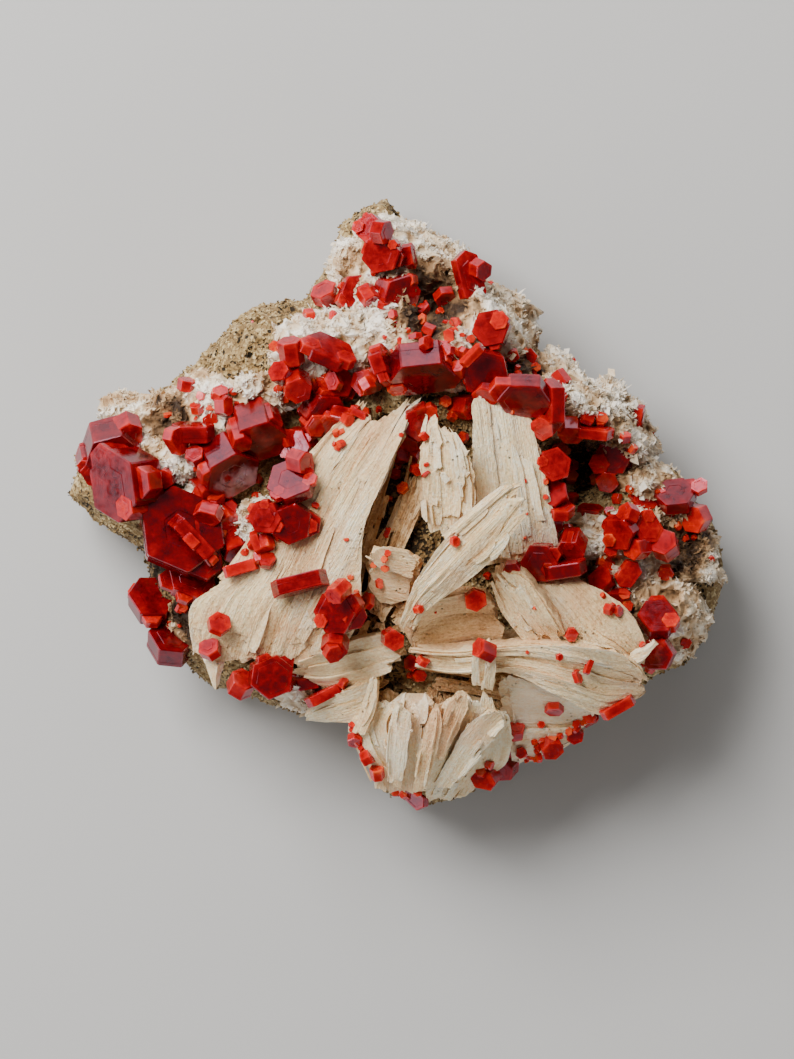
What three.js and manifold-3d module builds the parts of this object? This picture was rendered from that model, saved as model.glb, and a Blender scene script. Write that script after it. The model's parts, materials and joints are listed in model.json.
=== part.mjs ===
// Vanadinite on barite and matrix: a hand specimen about 71 mm across that lies on its sawn back.
//
// A buff sandstone matrix carries patches of white barite crust. Cream barite blades stand on it in
// fans, and red vanadinite crystals, six-sided tablets and short prisms, grow over all three.
// Millimetres, +Z up. The back of the matrix is the plane z = 0, +Y points to the specimen's apex,
// and the origin is the middle of the footprint.
import * as THREE from "three";
import { mergeVertices } from "three/addons/utils/BufferGeometryUtils.js";
import Module from "manifold-3d";

const wasm = await Module();
wasm.setup();

// ---------------------------------------------------------------- driving dimensions

const GAP = 0.3; // clearance between neighbouring solids
const SKY = 60; // a height above every part of the specimen, where the seating rays start
const BARE_HEIGHT = 9; // the height at which a crystal sits where it overhangs the matrix

const MATRIX_CORNERS = 40; // corners of each ring round the matrix
const MATRIX_BACK = 0.8; // the sawn back, as a share of the outline
const MATRIX_WAIST = 5; // height at which the outline is widest
const MATRIX_SHOULDER = [[0.76, 1], [0.88, 0.96], [0.955, 0.84], [1, 0.62]]; // share out, share of height
const MATRIX_FRONT = [0.58, 0.4, 0.2]; // the rings over its front, as shares of the outline
const BLADE_THICKNESS = 2.4; // a bundle of barite blades, front to back
const BLADE_CROWN = 0.5; // how far a blade's middle stands proud of its edges
const CRUST_CORNERS = 12; // corners of each ring round a crust patch
const CRUST_BED = 1.2; // height of a crust's underside over the matrix's smooth shape

const COLOURS = {
  matrix: { color: "#b3a184", roughness: 0.95, metalness: 0 },
  crust: { color: "#e2dace", roughness: 0.8, metalness: 0 },
  blade: { color: "#d6c6a8", roughness: 0.6, metalness: 0 },
  vanadinite: { color: "#a3120c", roughness: 0.25, metalness: 0 },
};

// The matrix's outline seen from the front, anticlockwise from the right-hand lobe.
const MATRIX_OUTLINE = [
  [34.9, -8], [34.4, -4], [32.6, 0], [30.6, 2.4], [27.6, 4.6], [25.4, 8], [22.6, 11.6], [17.6, 13.2],
  [14, 16], [13, 19], [10, 22], [6, 25.8], [2.4, 28], [0.6, 31], [-2.2, 32.4], [-5, 31], [-6.9, 28.8],
  [-6.8, 26.2], [-9, 22.6], [-10.4, 20.4], [-13.4, 21], [-17.4, 20.2], [-19.4, 16.6], [-22.6, 13.4],
  [-27.6, 11.2], [-30.6, 8.6], [-34.2, 5.4], [-35.3, 2.4], [-34.2, -0.4], [-31.6, -2.2], [-27.4, -4],
  [-26.2, -8], [-25, -12], [-23.6, -15.6], [-20.6, -18.8], [-15.6, -20.6], [-10.8, -22.7], [-5.6, -22.6],
  [-3.8, -26.4], [-1.6, -30.4], [1.6, -32.6], [5.4, -32.2], [9, -30], [13.2, -28], [17.6, -25.6],
  [20.6, -22.8], [25.2, -19.4], [28.8, -18.6], [31, -16.8], [33.6, -13],
];

// Knolls and hollows of the matrix's front: [x, y, reach, rise].
const MATRIX_BASE_HEIGHT = 13;
const MATRIX_RELIEF = [
  [-15, 15.5, 6, 4.2], [-30, 2, 7, 0.6], [-2, 28, 6, -1], [-25, 9, 3.6, -3.6], [19, 2.8, 4, -6.5],
  [4, 20.5, 3, -4.4], [29, -4.4, 3.6, -4.4], [31, -10, 5, 2.2], [13, 20, 6, 2], [21, 11, 5, 2],
  [3, 12, 9, 5.5], [-20, 0, 8, 3], [2, -26, 7, -1], [24, -2, 4, 1.5], [2, -8, 17, 6.5],
];

// Patches of white barite crust: a rounded outline, and how proud of the matrix each stands.
const CRUSTS = {
  crust_apex_ridge: {
    rise: 2.6,
    outline: [[-4.6, 30.4], [-5.4, 27.6], [-4, 24.6], [1.6, 23], [6, 19.6], [10.6, 15.4], [14.4, 15.6],
      [15.4, 20.2], [13.2, 21.4], [10.4, 23.8], [6.6, 27], [3.6, 28.8], [0.4, 30.2], [-2, 31]],
  },
  crust_right_ridge: {
    rise: 2.8,
    outline: [[14.4, 14.4], [16.6, 8.6], [20, 6], [24.6, 4.4], [28.6, 3.4], [28, 5.6], [26.6, 9.6],
      [24, 11.8], [22.6, 13.6], [19.4, 14], [17, 15.8], [15.4, 17]],
  },
  crust_right_lobe: {
    rise: 2.2,
    outline: [[20.4, -7.6], [23.6, -12], [26, -18.4], [30.6, -17.4], [32.6, -14.4], [34.9, -10],
      [34.6, -5], [32.8, -0.6], [26, -0.6], [20, -1.6]],
  },
  crust_upper_left: {
    rise: 2.6,
    outline: [[-12.8, 18.4], [-13.2, 14], [-11, 9.4], [-6, 12], [-2, 14.6], [-2.6, 20], [-5, 20.6],
      [-7.4, 20.4]],
  },
  crust_left: {
    rise: 2.2,
    outline: [[-29.8, 10], [-27.6, 4.6], [-24, 1.6], [-18, 4], [-15, 8.8], [-17, 12.6], [-20, 14.2],
      [-23.6, 12], [-26.6, 11.6]],
  },
};

// Barite blades. Each row is a station from the root to the tip: the left edge, then the right edge,
// as seen from the front, with the height of the front face at both.
const BLADES = {
  blade_crossing: {
    stations: [[0.2, -13, 24, 1.8, -13.2, 24], [1.2, -9.8, 26, 3.3, -11, 25.5],
      [2.6, -7, 27.5, 6.5, -8.7, 27],
      [5.6, -3.2, 28.5, 9.6, -6.1, 28], [10.8, 1.2, 30, 12.3, -2.8, 29.4],
      [12.8, 2, 30.4, 13.2, -0.6, 30]],
  },
  blade_centre_pointed: {
    stations: [[3.3, -3.6, 24, 7.3, -3.4, 25], [2.7, 0, 25, 8, 0, 26], [2.5, 4, 26, 7.7, 3, 27],
      [2.9, 7, 26, 6.9, 6.2, 27], [3.5, 10.2, 26, 5.1, 9.4, 26]],
  },
  blade_frosted_column: {
    thickness: 2.6,
    stations: [[7.7, -19.6, 22, 10, -19.8, 22], [7.8, -17, 24.4, 10.2, -17.2, 24.4],
      [8.2, -15, 25.4, 9.8, -15, 25.4]],
  },
  blade_right_broad: {
    thickness: 3,
    stations: [[9, -7.2, 22, 16.9, -5.4, 20], [8.2, -2, 23, 16.4, -1.6, 21.5], [8, 3, 24, 15.4, 3, 22.5],
      [7.8, 8, 24, 14.2, 7.4, 22.5], [7.7, 12, 22.5, 13.2, 11.2, 21.5]],
  },
  fan_left_curtain: {
    thickness: 3.4,
    stations: [[-21.4, -16.5, 18.5, -8.8, -17.2, 20.5], [-21.6, -11, 20.5, -5.6, -12.6, 23],
      [-17.8, -8, 21.3, -4.7, -7.6, 24], [-14.2, -2.8, 22.3, -3.6, -2.6, 24.5],
      [-11, 2.4, 23, -1.8, 1.9, 24.5], [-7.3, 6.8, 23, 0.2, 6.6, 23.8], [-4.2, 10.2, 22, 2.6, 11.6, 21]],
  },
  blade_right_striated: {
    stations: [[11.2, -6.9, 26, 9.5, -7.8, 25], [13.7, -8.4, 26, 10.5, -10.6, 23.5],
      [16.2, -12, 25, 12.3, -13.3, 22.5],
      [18.4, -15.2, 23, 14.6, -15.7, 21.5]],
  },
  fan_right_smooth: {
    stations: [[18.6, -7.5, 21, 13.8, -8.6, 23], [21.6, -9.3, 22, 15.5, -11.5, 23.2],
      [24.1, -12, 22, 17.9, -14.7, 23],
      [25.4, -14.8, 21.5, 21.2, -15.6, 23], [25.9, -17, 20, 24.4, -17.4, 21]],
  },
  blade_centre_smooth: {
    stations: [[1.5, -12.3, 24, 1.3, -15.5, 21.5], [3.8, -10.1, 24.5, 4.2, -15.4, 19.5],
      [7.2, -9.2, 24.5, 8.2, -14.9, 19], [10.2, -9.8, 24, 11.8, -14.3, 20]],
  },
  fan_lower_right: {
    thickness: 3,
    stations: [[1, -15.3, 22, 1.7, -17.2, 21], [6, -15.5, 22.5, 6, -18, 21],
      [12, -14.8, 23.5, 11.5, -17.8, 22],
      [18, -14.9, 25, 16.6, -19.8, 22], [22.5, -15.6, 24, 21, -21.8, 20],
      [25.2, -17, 23, 24.2, -20.8, 19.5],
      [26.1, -18.4, 22, 26, -19.6, 20]],
  },
  blade_left_small: {
    thickness: 1.6,
    stations: [[2, -9.7, 21, 2.4, -6.4, 26], [0, -9.9, 20, 0.8, -5.4, 26],
      [-2.2, -9.2, 20, -1.3, -4.9, 26],
      [-3.2, -6.4, 23, -3, -5.4, 25]],
  },
  blade_inner_shadow: {
    thickness: 1.8,
    stations: [[-1.6, -4.9, 19, 2.9, -4.7, 17], [-0.7, -2, 19.5, 3.6, -2.5, 18], [0.5, 1, 20, 3.8, 0, 19],
      [1.6, 3.4, 20, 3.2, 3.4, 19.5]],
  },
  fan_lower_left: {
    stations: [[-11, -16.9, 20, -10.8, -18.6, 17], [-8, -15.9, 20.5, -7, -19.3, 17.5],
      [-4.5, -14.5, 21, -3.6, -18.8, 18.5],
      [-1.2, -13.9, 21.5, -1, -18, 20], [0.7, -14.5, 22, 0.8, -17.3, 21]],
  },
  blade_pointed_left: {
    thickness: 2,
    stations: [[-2.4, -22.2, 18, -2, -18.3, 20], [-4.6, -23, 16.5, -4.8, -19.5, 19],
      [-7.4, -23.1, 15.5, -7.7, -20.7, 17.5],
      [-10, -22.7, 15, -9.9, -22.3, 15.5]],
  },
  fan_bottom_left: {
    thickness: 3.4,
    stations: [[-1.7, -31, 13, 2.6, -31.2, 14], [-2, -28, 15, 3, -28, 17], [-3.9, -26, 16, 3.6, -25, 20],
      [-5, -23.2, 17, 4.1, -22, 22], [-3, -20.2, 19.5, 3.8, -19.2, 22.5]],
  },
  fan_bottom_right: {
    thickness: 3.4,
    stations: [[2.7, -31.6, 13, 6.6, -31.5, 12], [3, -28.5, 17, 8.8, -29, 14],
      [3.8, -25, 20, 11.6, -26.8, 16.5],
      [4.2, -21.6, 22, 12, -23, 19], [6, -20.1, 22, 10.4, -19.7, 21]],
  },
  fan_white_corner: {
    thickness: 3.4,
    stations: [[10.2, -18, 20, 12, -27.8, 13], [14, -18.8, 20, 14.8, -26.8, 13.2],
      [18, -20.2, 19, 17.6, -26, 13.4],
      [21.2, -22, 17, 20.8, -23.4, 14.4]],
  },
};

// Vanadinite. Each row is a crystal: x and y of its middle, width across corners, length along the
// c axis, lean of that axis from +Z, the compass direction it leans to, the turn of the hexagon about
// it, the lift of the crystal's middle above what the cluster's first crystal grows on, and how far
// each half is drawn out along the corners that lie square to the lean, on a hexagon that grew long.
// Lengths in mm, angles in degrees.
const CRYSTALS = {
  left_rim_stack: [[-30, 5.7, 6.2, 3.8, 38, 285, 0, 2], [-28.3, 7.5, 3.4, 2.4, 40, 290, 12, 2.4],
    [-31.4, 3.4, 3.6, 2.4, 42, 250, 10, 1.6]],
  left_edge_tablet: [[-28.1, 1.6, 8, 4.2, 44, 188, 0, 3.8]],
  great_tablet: [[-22.5, -3.2, 9.8, 3.2, 12, 60, 7, 2.6], [-21.1, -4.1, 3.4, 1.5, 82, 224, 0, 4.9, 1.6]],
  left_prisms: [[-14.6, 7.4, 5.8, 4.4, 42, 288, 0, 3.2], [-17.7, 3.8, 6.4, 3.8, 48, 300, 0, 3]],
  left_bar: [[-21.2, 7.1, 3.2, 1.8, 76, 90, 0, 1.8, 0.7]],
  fan_edge_prism: [[-16.8, -4.8, 3.4, 2.4, 50, 292, 0, 1.2]],
  great_tablet_foot: [[-21.6, -8.1, 5.4, 1.8, 30, 60, 10, 1.4], [-19.8, -10.3, 2.8, 1.9, 34, 30, 0, 1.6]],
  left_lower_tablets: [[-25.9, -10.6, 5.4, 2.4, 32, 85, 5, 2], [-23.7, -14.8, 5.6, 2.6, 42, 82, 3, 2]],
  bottom_left_tablets: [[-13.1, -18.3, 5, 1.8, 16, 340, 12, 5.6], [-16.2, -19.1, 3, 2, 46, 60, 0, 5]],
  dark_bar: [[-7.5, -20.2, 2.6, 1.1, 84, 117, 0, 1, 1]],
  long_bar: [[-10, -8.6, 3.2, 1.7, 80, 284, 0, 0.9, 1.5]],
  centre_left_group: [[-6.2, -11.5, 4.8, 2, 22, 200, 10, 1], [-4.7, -11.8, 3.2, 1.8, 44, 330, 0, 1],
    [-6.4, -14.8, 3, 2, 44, 262, 0, 0.8]],
  bottom_rim_prism: [[11.4, -28, 3.2, 1.8, 45, 225, 0, 1]],
  upper_left_column: [[-11, 15.4, 2.8, 2.6, 66, 98, 0, 1.4], [-11.9, 13.2, 2.6, 1.8, 34, 150, 0, 1.3],
    [-10.4, 12, 3.2, 2.8, 32, 282, 10, 1.3]],
  curved_tablet: [[-7, 15.4, 4.6, 1.4, 56, 66, 0, 1.8, 0.6]],
  notch_tablet: [[-7.5, 21.8, 3.2, 1.6, 52, 118, 0, 1.2]],
  amber_hex: [[-4.4, 22, 3.8, 1.8, 18, 10, 28, 1.4]],
  apex_group: [[-1.4, 25.7, 4.3, 2.4, 14, 200, 20, 1.4], [-2.6, 28.3, 3.5, 1.6, 30, 160, 10, 1.2]],
  apex_column: [[-0.2, 21.6, 4.8, 2.8, 34, 340, 4, 3], [-0.3, 18, 4.6, 3.2, 48, 262, 0, 3.2]],
  ridge_tablet: [[7.5, 23.4, 3.3, 1.4, 26, 14, 0, 1.4, 1.3]],
  brown_hex: [[6.1, 17.3, 3.8, 2, 32, 196, 10, 1.4]],
  ringed_hex: [[9.9, 17.8, 4.2, 1.8, 12, 150, 10, 1.4]],
  crown_tablet: [[2.5, 13.7, 5.6, 3.2, 54, 276, 0, 4, 0.8], [-1.5, 14.2, 4.2, 1.5, 72, 20, 0, 4]],
  crown_left_group: [[-7.6, 9, 5.2, 2.8, 30, 318, 10, 4], [-5.9, 8, 4, 1.8, 46, 252, 8, 5],
    [-6.3, 12, 3.6, 2, 30, 30, 0, 3.8], [-3.1, 12.4, 3.2, 2, 30, 208, 15, 4.4]],
  crown_low_hex: [[-10.1, 6, 3.8, 2.2, 30, 200, 8, 2.6]],
  crown_right_group: [[9, 13.3, 5.6, 2.6, 16, 300, 14, 4], [9.2, 11.1, 3, 2, 40, 250, 4, 4.4]],
  bright_tablet: [[13.1, 10.8, 5, 2, 44, 268, 0, 1.6, 0.5], [16, 9.8, 3.4, 1.6, 62, 180, 0, 0.8, 1],
    [15.2, 7.6, 2.8, 1.8, 30, 230, 12, 0.6]],
  right_bars: [[20.5, 7.2, 3, 1.1, 72, 84, 0, 1.2, 0.7], [18.2, 7.4, 3, 1.8, 52, 268, 0, 1]],
  fan_edge_column: [[16.2, 3.7, 3.8, 1.2, 14, 20, 28, 9.6], [16.3, 0.7, 3.3, 1.2, 24, 120, 10, 9],
    [17, -1, 3, 1.2, 60, 90, 0, 8.8]],
  right_dark_hex: [[22.9, 4.8, 4.4, 2.4, 18, 200, 12, 1.5], [22.2, 2.4, 2.6, 2, 30, 260, 0, 1.2]],
  right_rim_pair: [[26, 0.4, 3.4, 1.5, 24, 20, 28, 1.2], [29.3, 0.5, 4.6, 1.5, 46, 96, 0, 1.4],
    [31.5, -1.8, 3.2, 1.8, 38, 200, 6, 1.1]],
  right_cluster: [[23.5, -3.1, 4, 2.2, 40, 215, 0, 1.8], [25.9, -3, 3.4, 1.8, 22, 20, 12, 1.4],
    [25, -4.8, 2.8, 2, 46, 190, 0, 1.8], [27.9, -4.6, 3.2, 2.4, 26, 120, 8, 1]],
  right_fan_group: [[14.9, -6.4, 4.4, 2.4, 16, 200, 10, 5.6], [17.2, -7, 3.2, 1.5, 76, 99, 0, 6.2, 0.9],
    [18.1, -4.8, 3.4, 3, 34, 252, 20, 4.6]],
  fan_shoulder: [[21.3, -8.3, 3, 1.2, 34, 130, 4, 1.2]],
  crust_tablet: [[27.2, -12.3, 4.6, 1.6, 34, 92, 0, 1.4], [27.2, -15.9, 3.8, 1.6, 20, 200, 12, 1.3]],
  pink_hex: [[-10.8, 1.9, 5.5, 1.4, 38, 112, 0, 1.4]],
  red_pair: [[-10.9, -2.2, 4.8, 2, 18, 280, 14, 1], [-13.3, -1.7, 3.8, 1.8, 24, 200, 8, 1]],
  between_fans_hex: [[2.5, 8.2, 4.1, 1.9, 20, 280, 14, 2.4]],
};

// ---------------------------------------------------------------- solids

const radians = THREE.MathUtils.degToRad;

// A closed three.js geometry as a manifold-3d solid.
function solidOf(geometry) {
  const bare = new THREE.BufferGeometry().setAttribute("position", geometry.getAttribute("position"));
  bare.setIndex(geometry.index);
  const merged = mergeVertices(bare, 1e-4);
  return new wasm.Manifold(
    new wasm.Mesh({
      numProp: 3,
      vertProperties: new Float32Array(merged.attributes.position.array),
      triVerts: new Uint32Array(merged.index.array),
    }),
  );
}

// A manifold-3d solid as a three.js geometry.
function geometryOf(solid) {
  const mesh = solid.getMesh();
  const geometry = new THREE.BufferGeometry();
  geometry.setAttribute("position", new THREE.BufferAttribute(new Float32Array(mesh.vertProperties), 3));
  geometry.setIndex(new THREE.BufferAttribute(new Uint32Array(mesh.triVerts), 1));
  return geometry;
}

// A cut can leave loose chips beside the piece: only the largest body is kept.
function largestBody(solid) {
  return solid.decompose().reduce((best, body) => (body.volume() > best.volume() ? body : best));
}

// A closed surface from rings of points, each ring as long as the next, with a pole at both ends.
function skinOfRings(rings, firstPole, lastPole) {
  const count = rings[0].length;
  const points = [...rings.flat(), firstPole, lastPole];
  const triangles = [];
  for (let ring = 0; ring + 1 < rings.length; ring += 1) {
    for (let i = 0; i < count; i += 1) {
      const [a, b] = [ring * count + i, ring * count + ((i + 1) % count)];
      triangles.push(a, b, b + count, a, b + count, a + count);
    }
  }
  const last = (rings.length - 1) * count;
  for (let i = 0; i < count; i += 1) {
    const next = (i + 1) % count;
    triangles.push(points.length - 2, next, i);
    triangles.push(points.length - 1, last + i, last + next);
  }
  const geometry = new THREE.BufferGeometry();
  geometry.setAttribute("position", new THREE.Float32BufferAttribute(points.flat(), 3));
  return geometry.setIndex(triangles);
}

// ---------------------------------------------------------------- the matrix

// Height of the matrix's front at x, y: a level sheet with smooth knolls and hollows.
function matrixHeight(x, y) {
  return MATRIX_RELIEF.reduce((height, [cx, cy, reach, rise]) => {
    const away = Math.hypot(x - cx, y - cy) / reach;
    return height + rise * Math.exp(-(away ** 2));
  }, MATRIX_BASE_HEIGHT);
}

// Points evenly spaced round a smooth closed curve through the given ones.
function roundOutline(points, count) {
  const curve = new THREE.CatmullRomCurve3(points.map(([x, y]) => new THREE.Vector3(x, y, 0)), true);
  return curve.getSpacedPoints(count).slice(0, count).map((p) => [p.x, p.y]);
}

const matrixOutline = roundOutline(MATRIX_OUTLINE, MATRIX_CORNERS);

// How far out x, y lies, as a share of the matrix's outline in that direction.
function shareOut(x, y) {
  for (const [i, [ax, ay]] of matrixOutline.entries()) {
    const [bx, by] = matrixOutline[(i + 1) % matrixOutline.length];
    if (ax * y - ay * x >= 0 && x * by - y * bx >= 0) {
      return (x * (by - ay) - y * (bx - ax)) / (ax * by - ay * bx);
    }
  }
  return 0;
}

// Height of the matrix's front with its shoulder, which falls away towards the outline.
function frontHeight(x, y) {
  const share = shareOut(x, y);
  const outer = MATRIX_SHOULDER.findIndex(([reach]) => reach >= share);
  if (outer === 0) return matrixHeight(x, y);
  if (outer < 0) return matrixHeight(x, y) * MATRIX_SHOULDER.at(-1)[1];
  const [[nearReach, nearLevel], [farReach, farLevel]] = MATRIX_SHOULDER.slice(outer - 1, outer + 1);
  return matrixHeight(x, y) * THREE.MathUtils.mapLinear(share, nearReach, farReach, nearLevel, farLevel);
}

// The matrix as rings from its sawn back, out to its waist and over its front. margin makes it
// larger all round, as a cutting tool.
function matrixGeometry(margin = 0) {
  const ring = (share, heightAt) =>
    matrixOutline.map(([x, y]) => {
      const grow = share + margin / Math.hypot(x, y);
      return [x * grow, y * grow, heightAt(x * share, y * share)];
    });
  const rings = [
    ring(MATRIX_BACK, () => -margin),
    ring(0.95, () => 1.6 - margin),
    ring(1, () => MATRIX_WAIST),
    ...[...MATRIX_SHOULDER.map(([share]) => share).reverse(), ...MATRIX_FRONT].map((share) =>
      ring(share, (x, y) => frontHeight(x, y) + margin),
    ),
  ];
  return skinOfRings(rings, [0, 0, -margin], [0, 0, matrixHeight(0, 0) + margin]);
}

// ---------------------------------------------------------------- barite crust

// A patch of crust as a blanket: its underside and its swollen top both follow the matrix's front.
function crustGeometry({ outline, rise }) {
  const edge = roundOutline(outline, CRUST_CORNERS);
  const centre = edge.reduce(([x, y], [px, py]) => [x + px / edge.length, y + py / edge.length], [0, 0]);
  const ring = (share, raise) =>
    edge.map(([x, y]) => {
      const [rx, ry] = [centre[0] + (x - centre[0]) * share, centre[1] + (y - centre[1]) * share];
      return [rx, ry, frontHeight(rx, ry) + CRUST_BED + raise];
    });
  const rings = [
    ring(0.35, 0), ring(0.7, 0), ring(0.98, 0), ring(1, 0.3 * rise), ring(0.9, 0.75 * rise),
    ring(0.66, rise), ring(0.34, 1.1 * rise),
  ];
  const bed = frontHeight(...centre) + CRUST_BED;
  return skinOfRings(rings, [...centre, bed], [...centre, bed + 1.1 * rise]);
}

// ---------------------------------------------------------------- barite blades

// A blade as a slab carried along its stations: a crowned front between the two edges and a narrower
// back behind it. margin makes it larger all round, as a cutting tool.
function bladeGeometry({ stations, thickness = BLADE_THICKNESS }, margin = 0) {
  const section = [
    [0, 0], [0.28, BLADE_CROWN], [0.72, BLADE_CROWN], [1, 0], [0.86, -thickness], [0.14, -thickness],
  ]; // [share across, depth]
  const rows = stations.map(([lx, ly, lz, rx, ry, rz]) => [
    new THREE.Vector3(lx, ly, lz),
    new THREE.Vector3(rx, ry, rz),
  ]);
  const middle = (row) => row[0].clone().add(row[1]).multiplyScalar(0.5);
  const rings = rows.map((row, i) => {
    const ahead = middle(rows[Math.min(i + 1, rows.length - 1)]);
    const along = ahead.sub(middle(rows[Math.max(i - 1, 0)])).normalize();
    const side = row[1].clone().sub(row[0]).normalize();
    const front = new THREE.Vector3().crossVectors(side, along).normalize();
    const shift = along.clone().multiplyScalar(i === 0 ? -margin : i === rows.length - 1 ? margin : 0);
    return section.map(([share, depth]) =>
      row[0].clone().addScaledVector(side, -margin)
        .lerp(row[1].clone().addScaledVector(side, margin), share)
        .addScaledVector(front, depth < 0 ? depth - margin : depth + margin)
        .add(shift).toArray(),
    );
  });
  const centre = (ring) => ring.reduce((sum, p) => sum.map((v, k) => v + p[k] / ring.length), [0, 0, 0]);
  return skinOfRings(rings, centre(rings[0]), centre(rings.at(-1)));
}

// ---------------------------------------------------------------- vanadinite

// Height of the first surface met from above at x, y.
const seatRay = new THREE.Raycaster();
function heightOf(ground, x, y) {
  seatRay.set(new THREE.Vector3(x, y, SKY), new THREE.Vector3(0, 0, -1));
  const hits = seatRay.intersectObjects(ground, false);
  return hits.length ? hits[0].point.z : BARE_HEIGHT;
}

// A crystal: a regular six-sided prism whose c axis leans from +Z. With no turn, two corners point
// level to the sides and a prism face looks the way that the axis leans.
function crystalSolid([x, y, across, length, lean, toward, turn, lift, drawnOut = 0], seat, margin = 0) {
  const radius = across / 2 + margin / Math.cos(radians(30));
  const prism = new THREE.CylinderGeometry(radius, radius, length + 2 * margin, 6);
  prism.rotateX(radians(90));
  const corner = prism.attributes.position;
  for (let i = 0; i < corner.count; i += 1) {
    corner.setY(i, corner.getY(i) + drawnOut * Math.sign(Math.round(corner.getY(i) * 100)));
  }
  prism.rotateZ(radians(turn));
  prism.rotateY(radians(lean));
  prism.rotateZ(radians(toward));
  prism.translate(x, y, seat + lift);
  return solidOf(prism);
}

// Crystals that grow through each other are one solid, seated where the first one grows.
function clusterSolid(rows, ground, margin = 0) {
  const [x, y] = rows[0];
  const seat = heightOf(ground, x, y);
  return rows.map((row) => crystalSolid(row, seat, margin)).reduce((all, one) => all.add(one));
}

// ---------------------------------------------------------------- the specimen

const specimen = new THREE.Group();

function addPiece(name, solid, finish) {
  const material = new THREE.MeshStandardMaterial(COLOURS[finish]);
  const piece = new THREE.Mesh(geometryOf(largestBody(solid)), material);
  piece.name = name;
  specimen.add(piece);
}

// What a crystal can grow on, before anything is cut.
const ground = [
  matrixGeometry(),
  ...Object.values(CRUSTS).map((crust) => crustGeometry(crust)),
  ...Object.values(BLADES).map((blade) => bladeGeometry(blade)),
].map((geometry) => new THREE.Mesh(geometry));

// Each piece gives way, with the clearance, to every piece that was placed before it.
const tools = [];
function giveWay(solid) {
  return tools.reduce((left, tool) => left.subtract(tool), solid);
}

for (const [name, rows] of Object.entries(CRYSTALS)) {
  addPiece(name, giveWay(clusterSolid(rows, ground)), "vanadinite");
  tools.push(clusterSolid(rows, ground, GAP));
}
for (const [name, blade] of Object.entries(BLADES)) {
  addPiece(name, giveWay(solidOf(bladeGeometry(blade))), "blade");
  tools.push(solidOf(bladeGeometry(blade, GAP)));
}
addPiece("matrix_rock", giveWay(solidOf(matrixGeometry())), "matrix");
tools.push(solidOf(matrixGeometry(GAP)));
for (const [name, crust] of Object.entries(CRUSTS)) {
  addPiece(name, giveWay(solidOf(crustGeometry(crust))), "crust");
  tools.push(solidOf(crustGeometry(crust)));
}

// The origin goes to the middle of the footprint, on the sawn back.
const footprint = new THREE.Box3().setFromObject(specimen);
const middle = footprint.getCenter(new THREE.Vector3());
specimen.position.set(-middle.x, -middle.y, -footprint.min.z);

export default specimen;
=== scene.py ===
# %% [markdown]
# # A vanadinite specimen: red crystals on barite and matrix
#
# This notebook dresses a mineral hand specimen, about 70 mm across, that lies on its sawn back.
# The real one has four materials, and each grows in its own way:
#
# * **sandstone matrix**, a buff, granular rock with pits and dark hollows;
# * **barite crust**, a snowy layer of plates too small to count;
# * **barite blades**, cream sheets that grow side by side in fans, like the pages of a wet book;
# * **vanadinite**, six-sided red tablets and short prisms, as sharp as cut glass.
#
# A frame of plain solids gives the size and place of every piece. Each cell below swaps some of
# those solids for a surface worked out with numpy, in the same place, in millimetres until the
# moment that it becomes a mesh.

# %% Load the frame
import json
import math

import bpy
import numpy as np
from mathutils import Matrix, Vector
from mathutils.bvhtree import BVHTree

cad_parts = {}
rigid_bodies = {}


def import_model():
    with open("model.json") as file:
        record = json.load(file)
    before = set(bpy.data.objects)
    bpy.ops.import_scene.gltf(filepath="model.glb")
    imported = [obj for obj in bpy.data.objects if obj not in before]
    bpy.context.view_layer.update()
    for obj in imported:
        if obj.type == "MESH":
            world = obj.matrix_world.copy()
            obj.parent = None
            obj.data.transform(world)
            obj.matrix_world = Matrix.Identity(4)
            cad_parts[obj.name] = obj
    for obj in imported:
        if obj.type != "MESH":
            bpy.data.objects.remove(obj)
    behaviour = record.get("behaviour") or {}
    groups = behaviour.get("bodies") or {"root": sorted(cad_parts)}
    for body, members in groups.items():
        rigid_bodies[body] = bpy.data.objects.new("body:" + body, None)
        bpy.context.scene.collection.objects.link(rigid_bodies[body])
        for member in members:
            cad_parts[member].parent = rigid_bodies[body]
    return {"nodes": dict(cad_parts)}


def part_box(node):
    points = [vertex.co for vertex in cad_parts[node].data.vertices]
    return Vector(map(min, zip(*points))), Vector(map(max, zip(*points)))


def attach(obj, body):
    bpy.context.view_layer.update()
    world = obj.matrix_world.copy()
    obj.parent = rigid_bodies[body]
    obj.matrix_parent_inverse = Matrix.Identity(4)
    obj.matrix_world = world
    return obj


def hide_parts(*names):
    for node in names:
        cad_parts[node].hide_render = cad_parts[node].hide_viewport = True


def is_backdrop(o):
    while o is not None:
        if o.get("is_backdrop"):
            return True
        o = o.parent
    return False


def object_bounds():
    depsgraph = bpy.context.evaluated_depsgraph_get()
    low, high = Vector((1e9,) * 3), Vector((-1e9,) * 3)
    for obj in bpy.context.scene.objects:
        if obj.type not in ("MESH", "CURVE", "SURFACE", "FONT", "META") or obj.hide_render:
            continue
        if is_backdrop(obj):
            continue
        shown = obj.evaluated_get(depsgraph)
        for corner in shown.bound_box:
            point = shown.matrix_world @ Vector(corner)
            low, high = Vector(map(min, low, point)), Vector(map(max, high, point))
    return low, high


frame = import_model()
cad_low, cad_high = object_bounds()

MM = 0.001  # the frame is in metres
chance = np.random.default_rng(7)
size_mm = np.array(cad_high - cad_low) / MM
print("frame:", len(frame["nodes"]), "nodes,", size_mm.round(1), "mm")

# %% [markdown]
# ## Noise, made from nothing but integers
#
# Rock is rough at every scale, and the usual tool for that is *value noise*: a random number sits at
# each whole-number point of space, and any point in between blends its eight neighbours. Adding the
# same noise at half the size and half the strength, a few times over, gives *fractal* noise. Numpy
# does it for a whole surface at once, and the numbers come from a seeded hash, so the specimen is
# the same every time.

# %% Value noise and fractal noise


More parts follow.
